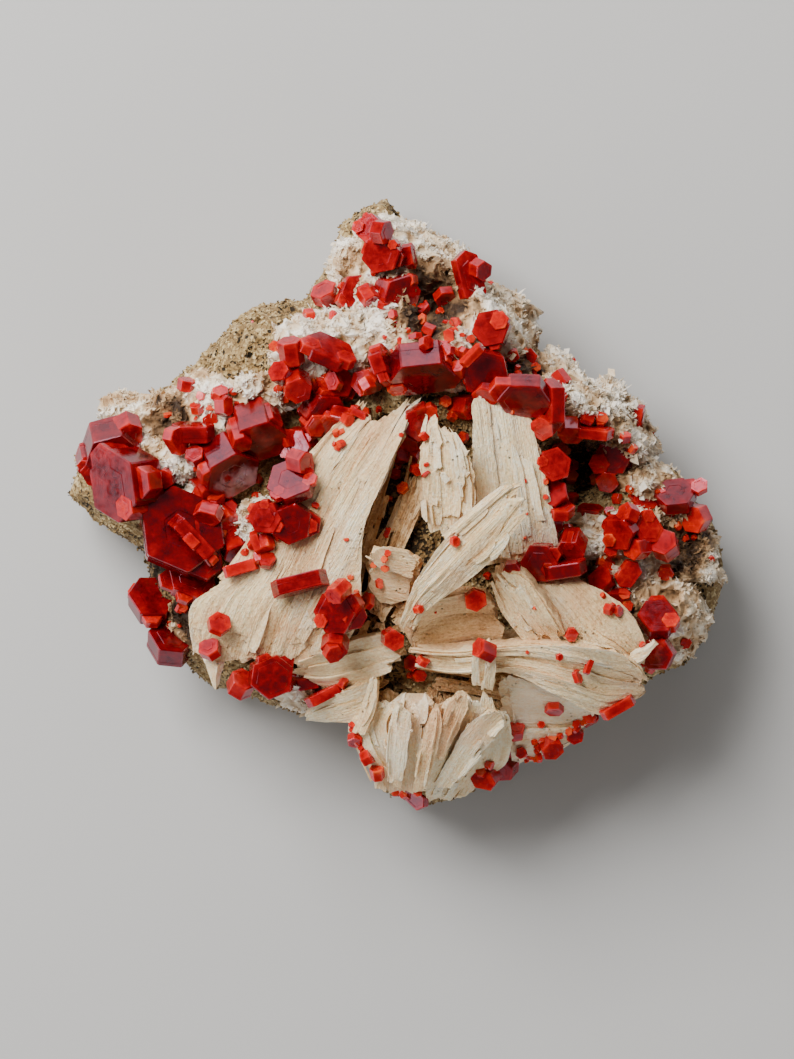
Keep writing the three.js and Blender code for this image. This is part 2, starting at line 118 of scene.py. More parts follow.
def stacked(*parts):
    """Coordinates or columns side by side, after spreading them all to one shape."""
    return np.stack(np.broadcast_arrays(*parts), -1)


def hashed(whole, seed):
    """A random number in 0..1 for each whole-number point: its coordinates mixed by large primes."""
    x, y, z = (whole[..., k].astype(np.uint64) for k in range(3))
    mixed = x * np.uint64(374761393) + y * np.uint64(668265263) + z * np.uint64(2246822519)
    mixed = (mixed + np.uint64(seed * 3266489917)) & np.uint64(0xFFFFFFFF)
    mixed = ((mixed ^ (mixed >> np.uint64(13))) * np.uint64(1274126177)) & np.uint64(0xFFFFFFFF)
    return (mixed ^ (mixed >> np.uint64(16))).astype(float) / 0xFFFFFFFF


def noise(points, seed=0):
    """Value noise in -1..1: the hashed corners of each point's unit cell, blended smoothly."""
    points = np.asarray(points, float) + 4096.0  # keeps every coordinate positive
    whole = np.floor(points)
    part = points - whole
    part = part * part * (3 - 2 * part)
    total = np.zeros(points.shape[:-1])
    for corner in np.ndindex(2, 2, 2):
        weight = np.prod(np.where(corner, part, 1 - part), axis=-1)
        total += weight * hashed(whole + corner, seed)
    return 2 * total - 1


def fractal(points, octaves=4, seed=0):
    """Noise plus half as much at twice the detail, and so on, for that many octaves."""
    return sum(noise(np.asarray(points) * 2**k, seed + k) / 2**k for k in range(octaves))


def ridged(points, octaves=4, seed=0):
    """Fractal noise folded at zero, so that it has sharp crests, like coral: 0 in dips, 1 on crests."""
    layers = ((1 - np.abs(noise(np.asarray(points) * 2**k, seed + k))) / 2**k for k in range(octaves))
    return sum(layers) / (2 - 0.5 ** (octaves - 1))


print("noise at one point:", noise(np.array([0.5, 0.2, 0.7])).round(3))

# %% [markdown]
# ## From rings of points to a closed mesh
#
# Everything here has the same build: rings of points, one after another, closed by a pole at each
# end. A crystal is a stack of hexagons, a blade is a thin section carried along a path, and the rock
# is a set of ever smaller outlines. One function turns any number of such stacks into one mesh, so a
# thousand small plates cost no more code than one.

# %% Stacks of rings to a mesh


def stack_faces(rings, around):
    """Faces of one stack: quads between rings, and a fan of triangles to the pole at each end.

    The points run ring by ring, then the first pole, then the last.
    """
    ring, step = np.meshgrid(np.arange(rings - 1), np.arange(around), indexing="ij")
    here = ring * around + step
    beside = ring * around + (step + 1) % around
    quads = np.stack([here, beside, beside + around, here + around], -1).reshape(-1, 4)
    edge = np.arange(around)
    after = (edge + 1) % around
    last = (rings - 1) * around
    first_pole = np.full(around, rings * around)
    start = np.stack([first_pole, after, edge], -1)
    end = np.stack([first_pole + 1, last + edge, last + after], -1)
    return quads, np.concatenate([start, end])


def with_poles(value, count):
    """Numbers per ring point, (count, rings, around, k), with each pole given its ring's mean."""
    value = np.asarray(value, float)
    value = value.reshape(*value.shape[:3], -1)
    width = value.shape[-1]
    ends = [value[:, k].mean(axis=1, keepdims=True) for k in (0, -1)]
    return np.concatenate([value.reshape(count, -1, width), *ends], axis=1).reshape(-1, width)


def stacks_mesh(name, *groups):
    """One mesh from groups of stacks; the stacks of one group all have the same size.

    A group holds "rings", which is (how many, rings, around, 3) in mm, and any number per ring point.
    "grain", the distance across and along the grain in mm, becomes a UV map; the rest, attributes.
    """
    faces, total, columns = [], 0, {}
    for group in groups:
        count, rings, around, _ = group["rings"].shape
        each = rings * around + 2
        shift = (total + np.arange(count) * each)[:, None, None]
        quads, ends = stack_faces(rings, around)
        faces += (quads + shift).reshape(-1, 4).tolist() + (ends + shift).reshape(-1, 3).tolist()
        total += count * each
        for title, value in group.items():
            columns.setdefault(title, []).append(with_poles(value, count))
    columns = {title: np.concatenate(parts) for title, parts in columns.items()}
    mesh = bpy.data.meshes.new(name)
    mesh.from_pydata((columns.pop("rings") * MM).tolist(), [], faces)
    if "grain" in columns:
        corner = np.empty(len(mesh.loops), np.int32)
        mesh.loops.foreach_get("vertex_index", corner)
        mesh.uv_layers.new(name="grain").data.foreach_set("uv", columns.pop("grain")[corner].ravel())
    for title, value in columns.items():
        mesh.attributes.new(title, "FLOAT", "POINT").data.foreach_set("value", value.ravel())
    return mesh


def add_piece(name, mesh, material, slot, *nodes, smooth=False, sharp=None):
    """Put a finished mesh in the scene, riding on the specimen's one body, in place of its solids.

    An angle in degrees for sharp keeps the edges that bend more than it crisp on a smooth piece.
    """
    mesh.materials.append(material)
    mesh.polygons.foreach_set("use_smooth", np.full(len(mesh.polygons), smooth))
    if sharp is not None:
        mesh.set_sharp_from_angle(angle=math.radians(sharp))
    piece = bpy.data.objects.new(name, mesh)
    bpy.context.scene.collection.objects.link(piece)
    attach(piece, "root")
    if nodes:
        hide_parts(*nodes)
    return piece


def triangles(piece):
    """How many triangles a piece has once its quads are cut in two."""
    return sum(len(face.vertices) - 2 for face in piece.data.polygons)


print("a stack of 3 rings of 4 has", len(stack_faces(3, 4)[0]), "quads")

# %% [markdown]
# ## Where the numbers come from
#
# The growth tables below are the ones that shaped the frame's solids. They are written about the
# specimen's own middle, and the frame puts its origin in the middle of the footprint, so one small
# slide lines them up. It is measured, not typed: every crystal's box in the table is compared with
# its box in the frame.

# %% Growth table of the vanadinite
# x, y, width across corners, length along the c axis, lean from +Z, the direction it leans to, the
# turn of the hexagon, the lift above the cluster's seat, and how far the hexagon is drawn out.
CRYSTALS = {
    "left_rim_stack": [(-30, 5.7, 6.2, 3.8, 38, 285, 0, 2), (-28.3, 7.5, 3.4, 2.4, 40, 290, 12, 2.4),
                       (-31.4, 3.4, 3.6, 2.4, 42, 250, 10, 1.6)],
    "left_edge_tablet": [(-28.1, 1.6, 8, 4.2, 44, 188, 0, 3.8)],
    "great_tablet": [(-22.5, -3.2, 9.8, 3.2, 12, 60, 7, 2.6), (-21.1, -4.1, 3.4, 1.5, 82, 224, 0, 4.9, 1.6)],
    "left_prisms": [(-14.6, 7.4, 5.8, 4.4, 42, 288, 0, 3.2), (-17.7, 3.8, 6.4, 3.8, 48, 300, 0, 3)],
    "left_bar": [(-21.2, 7.1, 3.2, 1.8, 76, 90, 0, 1.8, 0.7)],
    "fan_edge_prism": [(-16.8, -4.8, 3.4, 2.4, 50, 292, 0, 1.2)],
    "great_tablet_foot": [(-21.6, -8.1, 5.4, 1.8, 30, 60, 10, 1.4),
                          (-19.8, -10.3, 2.8, 1.9, 34, 30, 0, 1.6)],
    "left_lower_tablets": [(-25.9, -10.6, 5.4, 2.4, 32, 85, 5, 2), (-23.7, -14.8, 5.6, 2.6, 42, 82, 3, 2)],
    "bottom_left_tablets": [(-13.1, -18.3, 5, 1.8, 16, 340, 12, 5.6), (-16.2, -19.1, 3, 2, 46, 60, 0, 5)],
    "dark_bar": [(-7.5, -20.2, 2.6, 1.1, 84, 117, 0, 1, 1)],
    "long_bar": [(-10, -8.6, 3.2, 1.7, 80, 284, 0, 0.9, 1.5)],
    "centre_left_group": [(-6.2, -11.5, 4.8, 2, 22, 200, 10, 1), (-4.7, -11.8, 3.2, 1.8, 44, 330, 0, 1),
                          (-6.4, -14.8, 3, 2, 44, 262, 0, 0.8)],
    "bottom_rim_prism": [(11.4, -28, 3.2, 1.8, 45, 225, 0, 1)],
    "upper_left_column": [(-11, 15.4, 2.8, 2.6, 66, 98, 0, 1.4), (-11.9, 13.2, 2.6, 1.8, 34, 150, 0, 1.3),
                          (-10.4, 12, 3.2, 2.8, 32, 282, 10, 1.3)],
    "curved_tablet": [(-7, 15.4, 4.6, 1.4, 56, 66, 0, 1.8, 0.6)],
    "notch_tablet": [(-7.5, 21.8, 3.2, 1.6, 52, 118, 0, 1.2)],
    "amber_hex": [(-4.4, 22, 3.8, 1.8, 18, 10, 28, 1.4)],
    "apex_group": [(-1.4, 25.7, 4.3, 2.4, 14, 200, 20, 1.4), (-2.6, 28.3, 3.5, 1.6, 30, 160, 10, 1.2)],
    "apex_column": [(-0.2, 21.6, 4.8, 2.8, 34, 340, 4, 3), (-0.3, 18, 4.6, 3.2, 48, 262, 0, 3.2)],
    "ridge_tablet": [(7.5, 23.4, 3.3, 1.4, 26, 14, 0, 1.4, 1.3)],
    "brown_hex": [(6.1, 17.3, 3.8, 2, 32, 196, 10, 1.4)],
    "ringed_hex": [(9.9, 17.8, 4.2, 1.8, 12, 150, 10, 1.4)],
    "crown_tablet": [(2.5, 13.7, 5.6, 3.2, 54, 276, 0, 4, 0.8), (-1.5, 14.2, 4.2, 1.5, 72, 20, 0, 4)],
    "crown_left_group": [(-7.6, 9, 5.2, 2.8, 30, 318, 10, 4), (-5.9, 8, 4, 1.8, 46, 252, 8, 5),
                         (-6.3, 12, 3.6, 2, 30, 30, 0, 3.8), (-3.1, 12.4, 3.2, 2, 30, 208, 15, 4.4)],
    "crown_low_hex": [(-10.1, 6, 3.8, 2.2, 30, 200, 8, 2.6)],
    "crown_right_group": [(9, 13.3, 5.6, 2.6, 16, 300, 14, 4), (9.2, 11.1, 3, 2, 40, 250, 4, 4.4)],
    "bright_tablet": [(13.1, 10.8, 5, 2, 44, 268, 0, 1.6, 0.5), (16, 9.8, 3.4, 1.6, 62, 180, 0, 0.8, 1),
                      (15.2, 7.6, 2.8, 1.8, 30, 230, 12, 0.6)],
    "right_bars": [(20.5, 7.2, 3, 1.1, 72, 84, 0, 1.2, 0.7), (18.2, 7.4, 3, 1.8, 52, 268, 0, 1)],
    "fan_edge_column": [(16.2, 3.7, 3.8, 1.2, 14, 20, 28, 9.6), (16.3, 0.7, 3.3, 1.2, 24, 120, 10, 9),
                        (17, -1, 3, 1.2, 60, 90, 0, 8.8)],
    "right_dark_hex": [(22.9, 4.8, 4.4, 2.4, 18, 200, 12, 1.5), (22.2, 2.4, 2.6, 2, 30, 260, 0, 1.2)],
    "right_rim_pair": [(26, 0.4, 3.4, 1.5, 24, 20, 28, 1.2), (29.3, 0.5, 4.6, 1.5, 46, 96, 0, 1.4),
                       (31.5, -1.8, 3.2, 1.8, 38, 200, 6, 1.1)],
    "right_cluster": [(23.5, -3.1, 4, 2.2, 40, 215, 0, 1.8), (25.9, -3, 3.4, 1.8, 22, 20, 12, 1.4),
                      (25, -4.8, 2.8, 2, 46, 190, 0, 1.8), (27.9, -4.6, 3.2, 2.4, 26, 120, 8, 1)],
    "right_fan_group": [(14.9, -6.4, 4.4, 2.4, 16, 200, 10, 5.6), (17.2, -7, 3.2, 1.5, 76, 99, 0, 6.2, 0.9),
                        (18.1, -4.8, 3.4, 3, 34, 252, 20, 4.6)],
    "fan_shoulder": [(21.3, -8.3, 3, 1.2, 34, 130, 4, 1.2)],
    "crust_tablet": [(27.2, -12.3, 4.6, 1.6, 34, 92, 0, 1.4), (27.2, -15.9, 3.8, 1.6, 20, 200, 12, 1.3)],
    "pink_hex": [(-10.8, 1.9, 5.5, 1.4, 38, 112, 0, 1.4)],
    "red_pair": [(-10.9, -2.2, 4.8, 2, 18, 280, 14, 1), (-13.3, -1.7, 3.8, 1.8, 24, 200, 8, 1)],
    "between_fans_hex": [(2.5, 8.2, 4.1, 1.9, 20, 280, 14, 2.4)],
}


def crystal_rows(rows):
    """The rows as one array of nine columns, with a drawn-out length of 0 where none is given."""
    return np.array([tuple(row) + (0,) * (9 - len(row)) for row in rows], float)


def turned(rows):
    """Each crystal's rotation: turn about its own c axis, then lean, then swing to its compass point."""
    lean, toward, turn = np.radians(rows[:, 4]), np.radians(rows[:, 5]), np.radians(rows[:, 6])

    def about_z(angle):
        c, s = np.cos(angle), np.sin(angle)
        return stacked(c, -s, 0, s, c, 0, 0, 0, 1).reshape(-1, 3, 3)

    c, s = np.cos(lean), np.sin(lean)
    return about_z(toward) @ stacked(c, 0, s, 0, 1, 0, -s, 0, c).reshape(-1, 3, 3) @ about_z(turn)


def plain_corners(rows):
    """The twelve corners of each crystal's plain prism, about its cluster's seat."""
    angle = np.radians(30 + 60 * np.arange(6))
    reach = rows[:, 2, None] / 2
    x = reach * np.cos(angle)
    y = reach * np.sin(angle) + rows[:, 8, None] * np.sign(np.sin(angle).round(6))
    ends = [stacked(x, y, side * rows[:, 3, None] / 2) for side in (-1, 1)]
    corners = np.concatenate(ends, axis=1) @ turned(rows).transpose(0, 2, 1)
    middle = rows[:, [0, 1, 7]]
    return corners + middle[:, None]


def frame_box(node):
    """A node's lowest and highest corners in the frame, in mm."""
    low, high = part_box(node)
    return np.array(low) / MM, np.array(high) / MM


slides = []
for name, rows in CRYSTALS.items():
    corners = plain_corners(crystal_rows(rows)).reshape(-1, 3)
    low, high = frame_box(name)
    slides.append((low + high) / 2 - (corners.min(0) + corners.max(0)) / 2)
slide = np.append(np.median(slides, axis=0)[:2], 0.0)
print("the growth tables slide by", slide.round(3), "mm;", sum(map(len, CRYSTALS.values())), "crystals")

# %% [markdown]
# ## Materials, from what each mineral is
#
# Every pattern below is drawn in object space, at a size in millimetres, or follows the `grain` map
# that a blade or a crystal carries: distance across and along the way that it grew. One helper adds a
# node, gives it its settings, and links whatever is handed to it as a socket.

# %% Colours and nodes


def linear(hex_colour):
    """An sRGB hex colour as linear red, green, blue and alpha, which is what Blender mixes in."""
    channels = (int(hex_colour[k : k + 2], 16) / 255 for k in (1, 3, 5))
    return tuple(c / 12.92 if c <= 0.04045 else ((c + 0.055) / 1.055) ** 2.4 for c in channels) + (1.0,)


def add_node(tree, kind, inputs=None, **settings):
    """Add a node with its settings; each input is linked if it is a socket and typed in if not."""
    node = tree.nodes.new(kind)
    for name, value in settings.items():
        setattr(node, name, value)
    for name, value in (inputs or {}).items():
        if isinstance(value, bpy.types.NodeSocket):
            tree.links.new(value, node.inputs[name])
        else:
            node.inputs[name].default_value = value
    return node


def new_material(name, roughness, ior=1.5):
    """A material with its node tree and its Principled shader, of that roughness and refractive index."""
    material = bpy.data.materials.new(name)
    material.use_nodes = True
    tree = material.node_tree
    shader = tree.nodes["Principled BSDF"]
    shader.inputs["Roughness"].default_value = roughness
    shader.inputs["IOR"].default_value = ior
    return material, tree, shader


def ramp(tree, factor, *stops):
    """A colour ramp with (position, hex colour) stops."""
    node = add_node(tree, "ShaderNodeValToRGB", {"Fac": factor})
    elements = node.color_ramp.elements
    for _ in range(len(stops) - 2):
        elements.new(0.5)
    for element, (position, hex_colour) in zip(elements, stops):
        element.position = position
        element.color = linear(hex_colour)
    return node.outputs["Color"]


def per_mm(size_in_mm):
    """The scale of a pattern on Object coordinates, which are in metres, for a size in mm."""
    return 1.0 / (size_in_mm * MM)


def maths(tree, operation, first, second, third=0.0):
    """One arithmetic node's result."""
    inputs = {0: first, 1: second, 2: third}
    return add_node(tree, "ShaderNodeMath", inputs, operation=operation).outputs[0]


def plus(tree, total, *parts, middle=0.0):
    """The total plus each (value, weight) part; what counts is how far a value is from the middle."""
    for value, weight in parts:
        if middle:
            value = maths(tree, "SUBTRACT", value, middle)
        total = maths(tree, "MULTIPLY_ADD", value, weight, total)
    return total


def between(tree, value, low, high, at_low=0.0, at_high=1.0):
    """The value rescaled from low..high to at_low..at_high, and clamped there."""
    inputs = {0: value, 1: low, 2: high, 3: at_low, 4: at_high}
    return add_node(tree, "ShaderNodeMapRange", inputs).outputs[0]


def blend(tree, share, first, second):
    """One colour mixed over another by a share."""
    both = {0: share, 6: first, 7: second}
    return add_node(tree, "ShaderNodeMix", both, data_type="RGBA").outputs[2]


def attribute(tree, name):
    """A number that the mesh carries at each point."""
    return add_node(tree, "ShaderNodeAttribute", attribute_name=name).outputs["Fac"]


def object_noise(tree, size_in_mm, detail=3.0):
    """Noise on Object coordinates, with lumps of that size."""
    where = add_node(tree, "ShaderNodeTexCoord").outputs["Object"]
    settings = {"Vector": where, "Scale": per_mm(size_in_mm), "Detail": detail}
    return add_node(tree, "ShaderNodeTexNoise", settings).outputs["Fac"]


def grain_noise(tree, across_mm, along_mm, detail=2.0):
    """Noise drawn out along the grain: streaks that wide and that long."""
    where = add_node(tree, "ShaderNodeUVMap", uv_map="grain").outputs["UV"]
    scale = (1 / across_mm, 1 / along_mm, 1.0)
    streaks = add_node(tree, "ShaderNodeMapping", {"Vector": where, "Scale": scale}).outputs["Vector"]
    settings = {"Vector": streaks, "Scale": 1.0, "Detail": detail}
    return add_node(tree, "ShaderNodeTexNoise", settings).outputs["Fac"]


def voronoi(tree, size_in_mm, output="Distance"):
    """Cells of that size on Object coordinates: distance to the cell's middle, or its colour."""
    where = add_node(tree, "ShaderNodeTexCoord").outputs["Object"]
    settings = {"Vector": where, "Scale": per_mm(size_in_mm)}
    return add_node(tree, "ShaderNodeTexVoronoi", settings).outputs[output]


def cell_number(tree, size_in_mm):
    """A random number in 0..1 for each cell of that size."""
    colour = voronoi(tree, size_in_mm, "Color")
    return add_node(tree, "ShaderNodeSeparateColor", {"Color": colour}).outputs[0]


def set_relief(tree, shader, height, strength, depth_mm):
    """A bump of that depth on the shader's normal."""
    settings = {"Height": height, "Strength": strength, "Distance": depth_mm * MM}
    bump = add_node(tree, "ShaderNodeBump", settings)
    tree.links.new(bump.outputs[0], shader.inputs["Normal"])


def set_glow_within(shader, share, reach_mm, radius):
    """Light that goes in and comes out nearby: how much of it, how far, and how far for each colour."""
    shader.inputs["Subsurface Weight"].default_value = share
    shader.inputs["Subsurface Radius"].default_value = radius
    shader.inputs["Subsurface Scale"].default_value = reach_mm * MM


print("deep vanadinite red is", [round(c, 3) for c in linear("#8B0A08")])

# %% Vanadinite: lead chlorovanadate, grown as sharp hexagonal tablets
# A refractive index above 2 gives a lustre close to diamond's, so a face that meets the light turns
# from deep red to dusty pink. It is translucent: thin edges and small crystals glow orange, and that
# glow is painted into the red through the glow attribute. Growth lines run round each crystal,
# parallel to its basal edges.
VANADINITE_IOR = 2.2
VANADINITE_LINE = 0.22  # mm between growth lines; finer ones are there but would not show


def vanadinite_material():
    """Deep red glass: clouds and each crystal's painted glow pick the red, and steps line the faces."""
    material, tree, shader = new_material("vanadinite", 0.1, VANADINITE_IOR)
    clouds = (object_noise(tree, 1.4), 0.75), (object_noise(tree, 0.35), 0.2)
    glow = plus(tree, attribute(tree, "glow"), *clouds)
    glow = maths(tree, "SUBTRACT", glow, 0.475)
    stops = (0.0, "#380003"), (0.3, "#6E0306"), (0.6, "#A2080A"), (0.85, "#CA2210"), (1.0, "#E2582A")
    tree.links.new(ramp(tree, glow, *stops), shader.inputs["Base Color"])
    shader.inputs["Specular Tint"].default_value = linear("#E6B2C6")
    dull = between(tree, object_noise(tree, 0.6), 0.35, 0.7, 0.07, 0.18)
    tree.links.new(dull, shader.inputs["Roughness"])
    relief = plus(tree, grain_noise(tree, 7.0, VANADINITE_LINE), (object_noise(tree, 0.8), 0.5))
    set_relief(tree, shader, relief, 0.2, 0.035)
    set_glow_within(shader, 0.25, 1.0, (1.0, 0.1, 0.04))
    return material


vanadinite = vanadinite_material()
print("made", vanadinite.name, "with", len(vanadinite.node_tree.nodes), "nodes")

# %% Barite in blades: heavy spar, cream where clean, and tan from soaked-in iron and from painted shade
# Cleavage gives it a satin face with fine lines along the blade, under a sugary frost. Dark pits
# gather in dirty patches, painted shade darkens the grooves, and light goes a little way in, which
# takes the hardness off its shadows.
BARITE_IOR = 1.64
BARITE_FROST = 0.2  # mm


def barite_blade_material():
    """Cream, streaked along the grain, with a frost of tiny cells."""
    material, tree, shader = new_material("barite_blade", 0.5, BARITE_IOR)
    streak = grain_noise(tree, 0.32, 8.0)
    hair = grain_noise(tree, 0.13, 3.0)
    fleck = grain_noise(tree, 0.24, 0.8)
    frost = cell_number(tree, BARITE_FROST)
    varied = (streak, 0.4), (object_noise(tree, 4.0), 0.6), (fleck, 0.45), (frost, 0.26), (hair, 0.4)
    tone = plus(tree, attribute(tree, "tone"), *varied, middle=0.5)
    stops = (0.0, "#7A5232"), (0.25, "#C2925F"), (0.5, "#EAC290"), (0.72, "#F9DAA8"), (1.0, "#FFF0D0")
    pink = between(tree, object_noise(tree, 7.0, 1.0), 0.45, 0.7, 0.0, 0.3)
    clean = blend(tree, pink, ramp(tree, tone, *stops), linear("#D8966F"))
    speck = plus(tree, voronoi(tree, 0.8), (object_noise(tree, 0.35), 0.25))
    spot = between(tree, speck, 0.2, 0.32, 1.0, 0.0)
    dirty = between(tree, object_noise(tree, 2.6), 0.5, 0.66, 0.0, 0.9)
    pit = maths(tree, "MULTIPLY", spot, dirty)
    tree.links.new(blend(tree, pit, clean, linear("#4A3322")), shader.inputs["Base Color"])
    raised = (streak, 0.7), (frost, 0.5), (fleck, 1.2), (object_noise(tree, 0.25), 0.8), (pit, -1.5)
    set_relief(tree, shader, plus(tree, hair, *raised), 1.0, 0.13)
    set_glow_within(shader, 0.2, 0.9, (1.0, 0.6, 0.4))
    return material


barite_blade = barite_blade_material()
print("made", barite_blade.name)

# %% Barite crust: the same mineral as a snow of tiny plates, matt and nearly white


def barite_crust_material():
    """Snow white on the crests, buff and brown in the hollows, and dark with painted shade in the cavities.
    """
    material, tree, shader = new_material("barite_crust", 0.65, BARITE_IOR)
    tone = plus(tree, attribute(tree, "tone"), (object_noise(tree, 2.2), 1.4), middle=0.5)
    stops = (0.0, "#38281C"), (0.25, "#8E6C4A"), (0.5, "#C4A27A"), (0.75, "#DECAAC"), (1.0, "#F2E8D8")
    tree.links.new(ramp(tree, tone, *stops), shader.inputs["Base Color"])
    set_relief(tree, shader, object_noise(tree, 0.25), 0.8, 0.15)
    set_glow_within(shader, 0.15, 0.5, (1.0, 0.8, 0.65))
    return material


barite_crust = barite_crust_material()
print("made", barite_crust.name)

# %% Sandstone: buff quartz and feldspar grains with grey and black ones among them
SAND_GRAIN = 0.3  # mm
QUARTZ_IOR = 1.54


def sandstone_material():
    """Buff grains, each cell its own tint, with painted shade darkening the hollows."""
    material, tree, shader = new_material("sandstone", 0.85, QUARTZ_IOR)
    pick = plus(tree, cell_number(tree, SAND_GRAIN), (object_noise(tree, 3.5, 4.0), 1.0), middle=0.5)
    # The hollow attribute is painted shade, taken off the grains' pick.
    pick = plus(tree, pick, (attribute(tree, "hollow"), -0.8))
    dark = (0.0, "#2C241A"), (0.06, "#55452F"), (0.13, "#7E6444")
    buff = (0.4, "#8C7047"), (0.7, "#A48A5F"), (1.0, "#C8B286")
    tree.links.new(ramp(tree, pick, *dark, *buff), shader.inputs["Base Color"])
    lumps = maths(tree, "ADD", object_noise(tree, 0.6), voronoi(tree, SAND_GRAIN))
    set_relief(tree, shader, lumps, 0.9, 0.2)
    return material


sandstone = sandstone_material()
print("made", sandstone.name)

# %% [markdown]
# ## The matrix
#
# The rock could be a subdivided cube pushed about by hand, but a specimen that is broken out of a
# wall is really a *relief*: a front that faces us, sides that fall away, and a flat sawn back. So it
# is one grid with an angle and a share of the way out. Its outline comes from the frame: the solid
# rock is widest on one level ring, so that ring's corners, sorted by angle, say how far the outline
# reaches. Its front is a level sheet with knolls and hollows, and the noise on top makes the grain.

# %% The matrix's outline and front
MATRIX_WAIST = 5.0  # mm up, where the outline is widest
# The shoulder is shares of the way out and of the front's height. The side is shares of the way up,
# of the outline and of the front's height.
MATRIX_SHOULDER = np.array([(0.76, 1.0), (0.88, 0.96), (0.955, 0.84), (1.0, 0.62)])
MATRIX_SIDE = np.array([(0, 0.8, 0), (0.3, 0.95, 0.13), (0.55, 1.0, 0.42), (1, 1.0, 1.0)])
MATRIX_BASE_HEIGHT = 13.0
OUTLINE_ROUGHNESS = 0.45  # mm
MATRIX_RELIEF = np.array([
    (-15, 15.5, 6, 4.2), (-30, 2, 7, 0.6), (-2, 28, 6, -1), (-25, 9, 3.6, -3.6), (19, 2.8, 4, -6.5),
    (4, 20.5, 3, -4.4), (29, -4.4, 3.6, -4.4), (31, -10, 5, 2.2), (13, 20, 6, 2), (21, 11, 5, 2),
    (3, 12, 9, 5.5), (-20, 0, 8, 3), (2, -26, 7, -1), (24, -2, 4, 1.5), (2, -8, 17, 6.5),
])  # x, y, reach and rise of each knoll or hollow
MATRIX_SHADE = np.array([
    (3.4, 20.3, 3.2), (13.5, 13.7, 1.6), (19.4, 3.6, 3.0), (-24, 8.6, 1.8), (30, -4.5, 2.2),
    (25.2, -12.4, 1.4), (-3.6, -8.4, 4.2), (1.2, -4.4, 3.4), (-1, 2.5, 3.6), (-20, -12.5, 2.6),
    (-4, -17, 4), (-25, -7.5, 3),
])  # x, y and reach of each dark cavity, whose shade is painted on the rock and the crust


def corners_of(piece):
    """Every vertex of a mesh object, in metres."""
    flat = np.empty(len(piece.data.vertices) * 3, np.float32)
    piece.data.vertices.foreach_get("co", flat)
    return flat.reshape(-1, 3)


def reach_by_angle(points, centre=(0.0, 0.0)):
    """A function from angle to distance: it joins up the points, sorted by their angle."""
    away = points[:, :2] - np.array(centre)
    angle = np.arctan2(away[:, 1], away[:, 0])
    order = np.argsort(angle)
    distance = np.hypot(away[:, 0], away[:, 1])[order]
    return lambda theta: np.interp(theta, angle[order], distance, period=2 * np.pi)


rock_points = corners_of(frame["nodes"]["matrix_rock"]).astype(float) / MM
waist = rock_points[np.abs(rock_points[:, 2] - MATRIX_WAIST) < 0.01]
matrix_reach = reach_by_angle(waist)


def bells(x, y, table):
    """The table's bell curves at each point, one per row: exp(-(distance / reach)^2)."""
    own = stacked(x, y) - slide[:2]
    away = np.linalg.norm(own[..., None, :] - table[:, :2], axis=-1) / table[:, 2]
    return np.exp(-(away**2))


def front_height(x, y):
    """Height of the matrix's front: the level sheet plus each knoll's bell curve, with its shoulder."""
    level = MATRIX_BASE_HEIGHT + bells(x, y, MATRIX_RELIEF) @ MATRIX_RELIEF[:, 3]
    share = np.hypot(x, y) / matrix_reach(np.arctan2(y, x))
    return level * np.interp(share, *MATRIX_SHOULDER.T)


print("the waist ring has", len(waist), "corners; the front is", front_height(0.0, 0.0).round(1), "mm up")

# %% The matrix as a grid of rings
AROUND = 560  # points round each ring
SIDE_RINGS = 30  # rings from the back up to the shoulder
FRONT_RINGS = 140  # rings over the front


def matrix_rings():
    """Rings from the sawn back, out to the waist, over the shoulder and in across the front.

    Each ring is share(r) times the outline at height h(r); then every point moves along the way it
    faces by fractal noise, more on the front than near the back, which stays flat.
    """
    theta = np.linspace(-np.pi, np.pi, AROUND, endpoint=False)
    circle = stacked(np.cos(theta), np.sin(theta), 0)
    reach = matrix_reach(theta) * 0.99 + OUTLINE_ROUGHNESS * fractal(circle * 9, 4, 3)
    side = np.linspace(0, 1, SIDE_RINGS)
    way_up, outward_share, level_share = MATRIX_SIDE.T
    side_share = np.interp(side, way_up, outward_share)
    side_level = np.interp(side, way_up, level_share)
    front = np.linspace(1, 0.01, FRONT_RINGS) ** 0.9
    share = np.concatenate([side_share, front[1:]])[:, None]
    x, y = share * reach * np.cos(theta), share * reach * np.sin(theta)
    z = front_height(x, y)
    z[:SIDE_RINGS] *= side_level[:, None]
    points = stacked(x, y, z)
    rough = 0.5 * fractal(points / 3.2, 5, 20)
    rough += 0.13 * noise(points / 0.5, 30) + 0.1 * noise(points / 0.25, 31)
    pits = np.clip(noise(points / 1.2, 40) - 0.4, 0, 1) * 2.0
    facing = np.concatenate([np.ones(SIDE_RINGS), np.interp(front[1:], [0.8, 1], [0, 1])])[:, None, None]
    push = circle * facing + np.array([0, 0, 1.0]) * (1 - 0.4 * facing)
    push[:SIDE_RINGS, :, 2] *= side_level[:, None]
    push[0] = 0
    points = points + push * (rough - pits)[..., None]
    # Painted shade: the rock is darkened in the cavities of MATRIX_SHADE, in its pits and in the dips of its
    # noise.
    dark = bells(points[..., 0], points[..., 1], MATRIX_SHADE).sum(-1)
    return points, np.clip(dark + 0.6 * pits - 0.25 * rough, 0, 1)


matrix_points, matrix_painted_shade = matrix_rings()
matrix_grid = {"rings": matrix_points[None], "hollow": matrix_painted_shade[None]}
matrix_mesh = stacks_mesh("matrix_rock_surface", matrix_grid)
matrix_rock = add_piece("sandstone_matrix", matrix_mesh, sandstone, "sandstone", "matrix_rock", smooth=True)
print("matrix:", triangles(matrix_rock), "triangles")

# %% Loose grains on its surface
# Each grain is two rings of five points and a pole at each end, the least that looks like a grain.
GRAINS = 16000
GRAIN_AROUND = 5


def facing_of(rings):
    """The way each grid point faces: the cross product of its steps along and round the rings."""
    round_ring = np.roll(rings, -1, axis=-2) - np.roll(rings, 1, axis=-2)
    return unit(np.cross(round_ring, np.gradient(rings, axis=-3)))


def unit(vectors):
    """The vectors at length one."""
    return vectors / np.maximum(np.linalg.norm(vectors, axis=-1, keepdims=True), 1e-9)


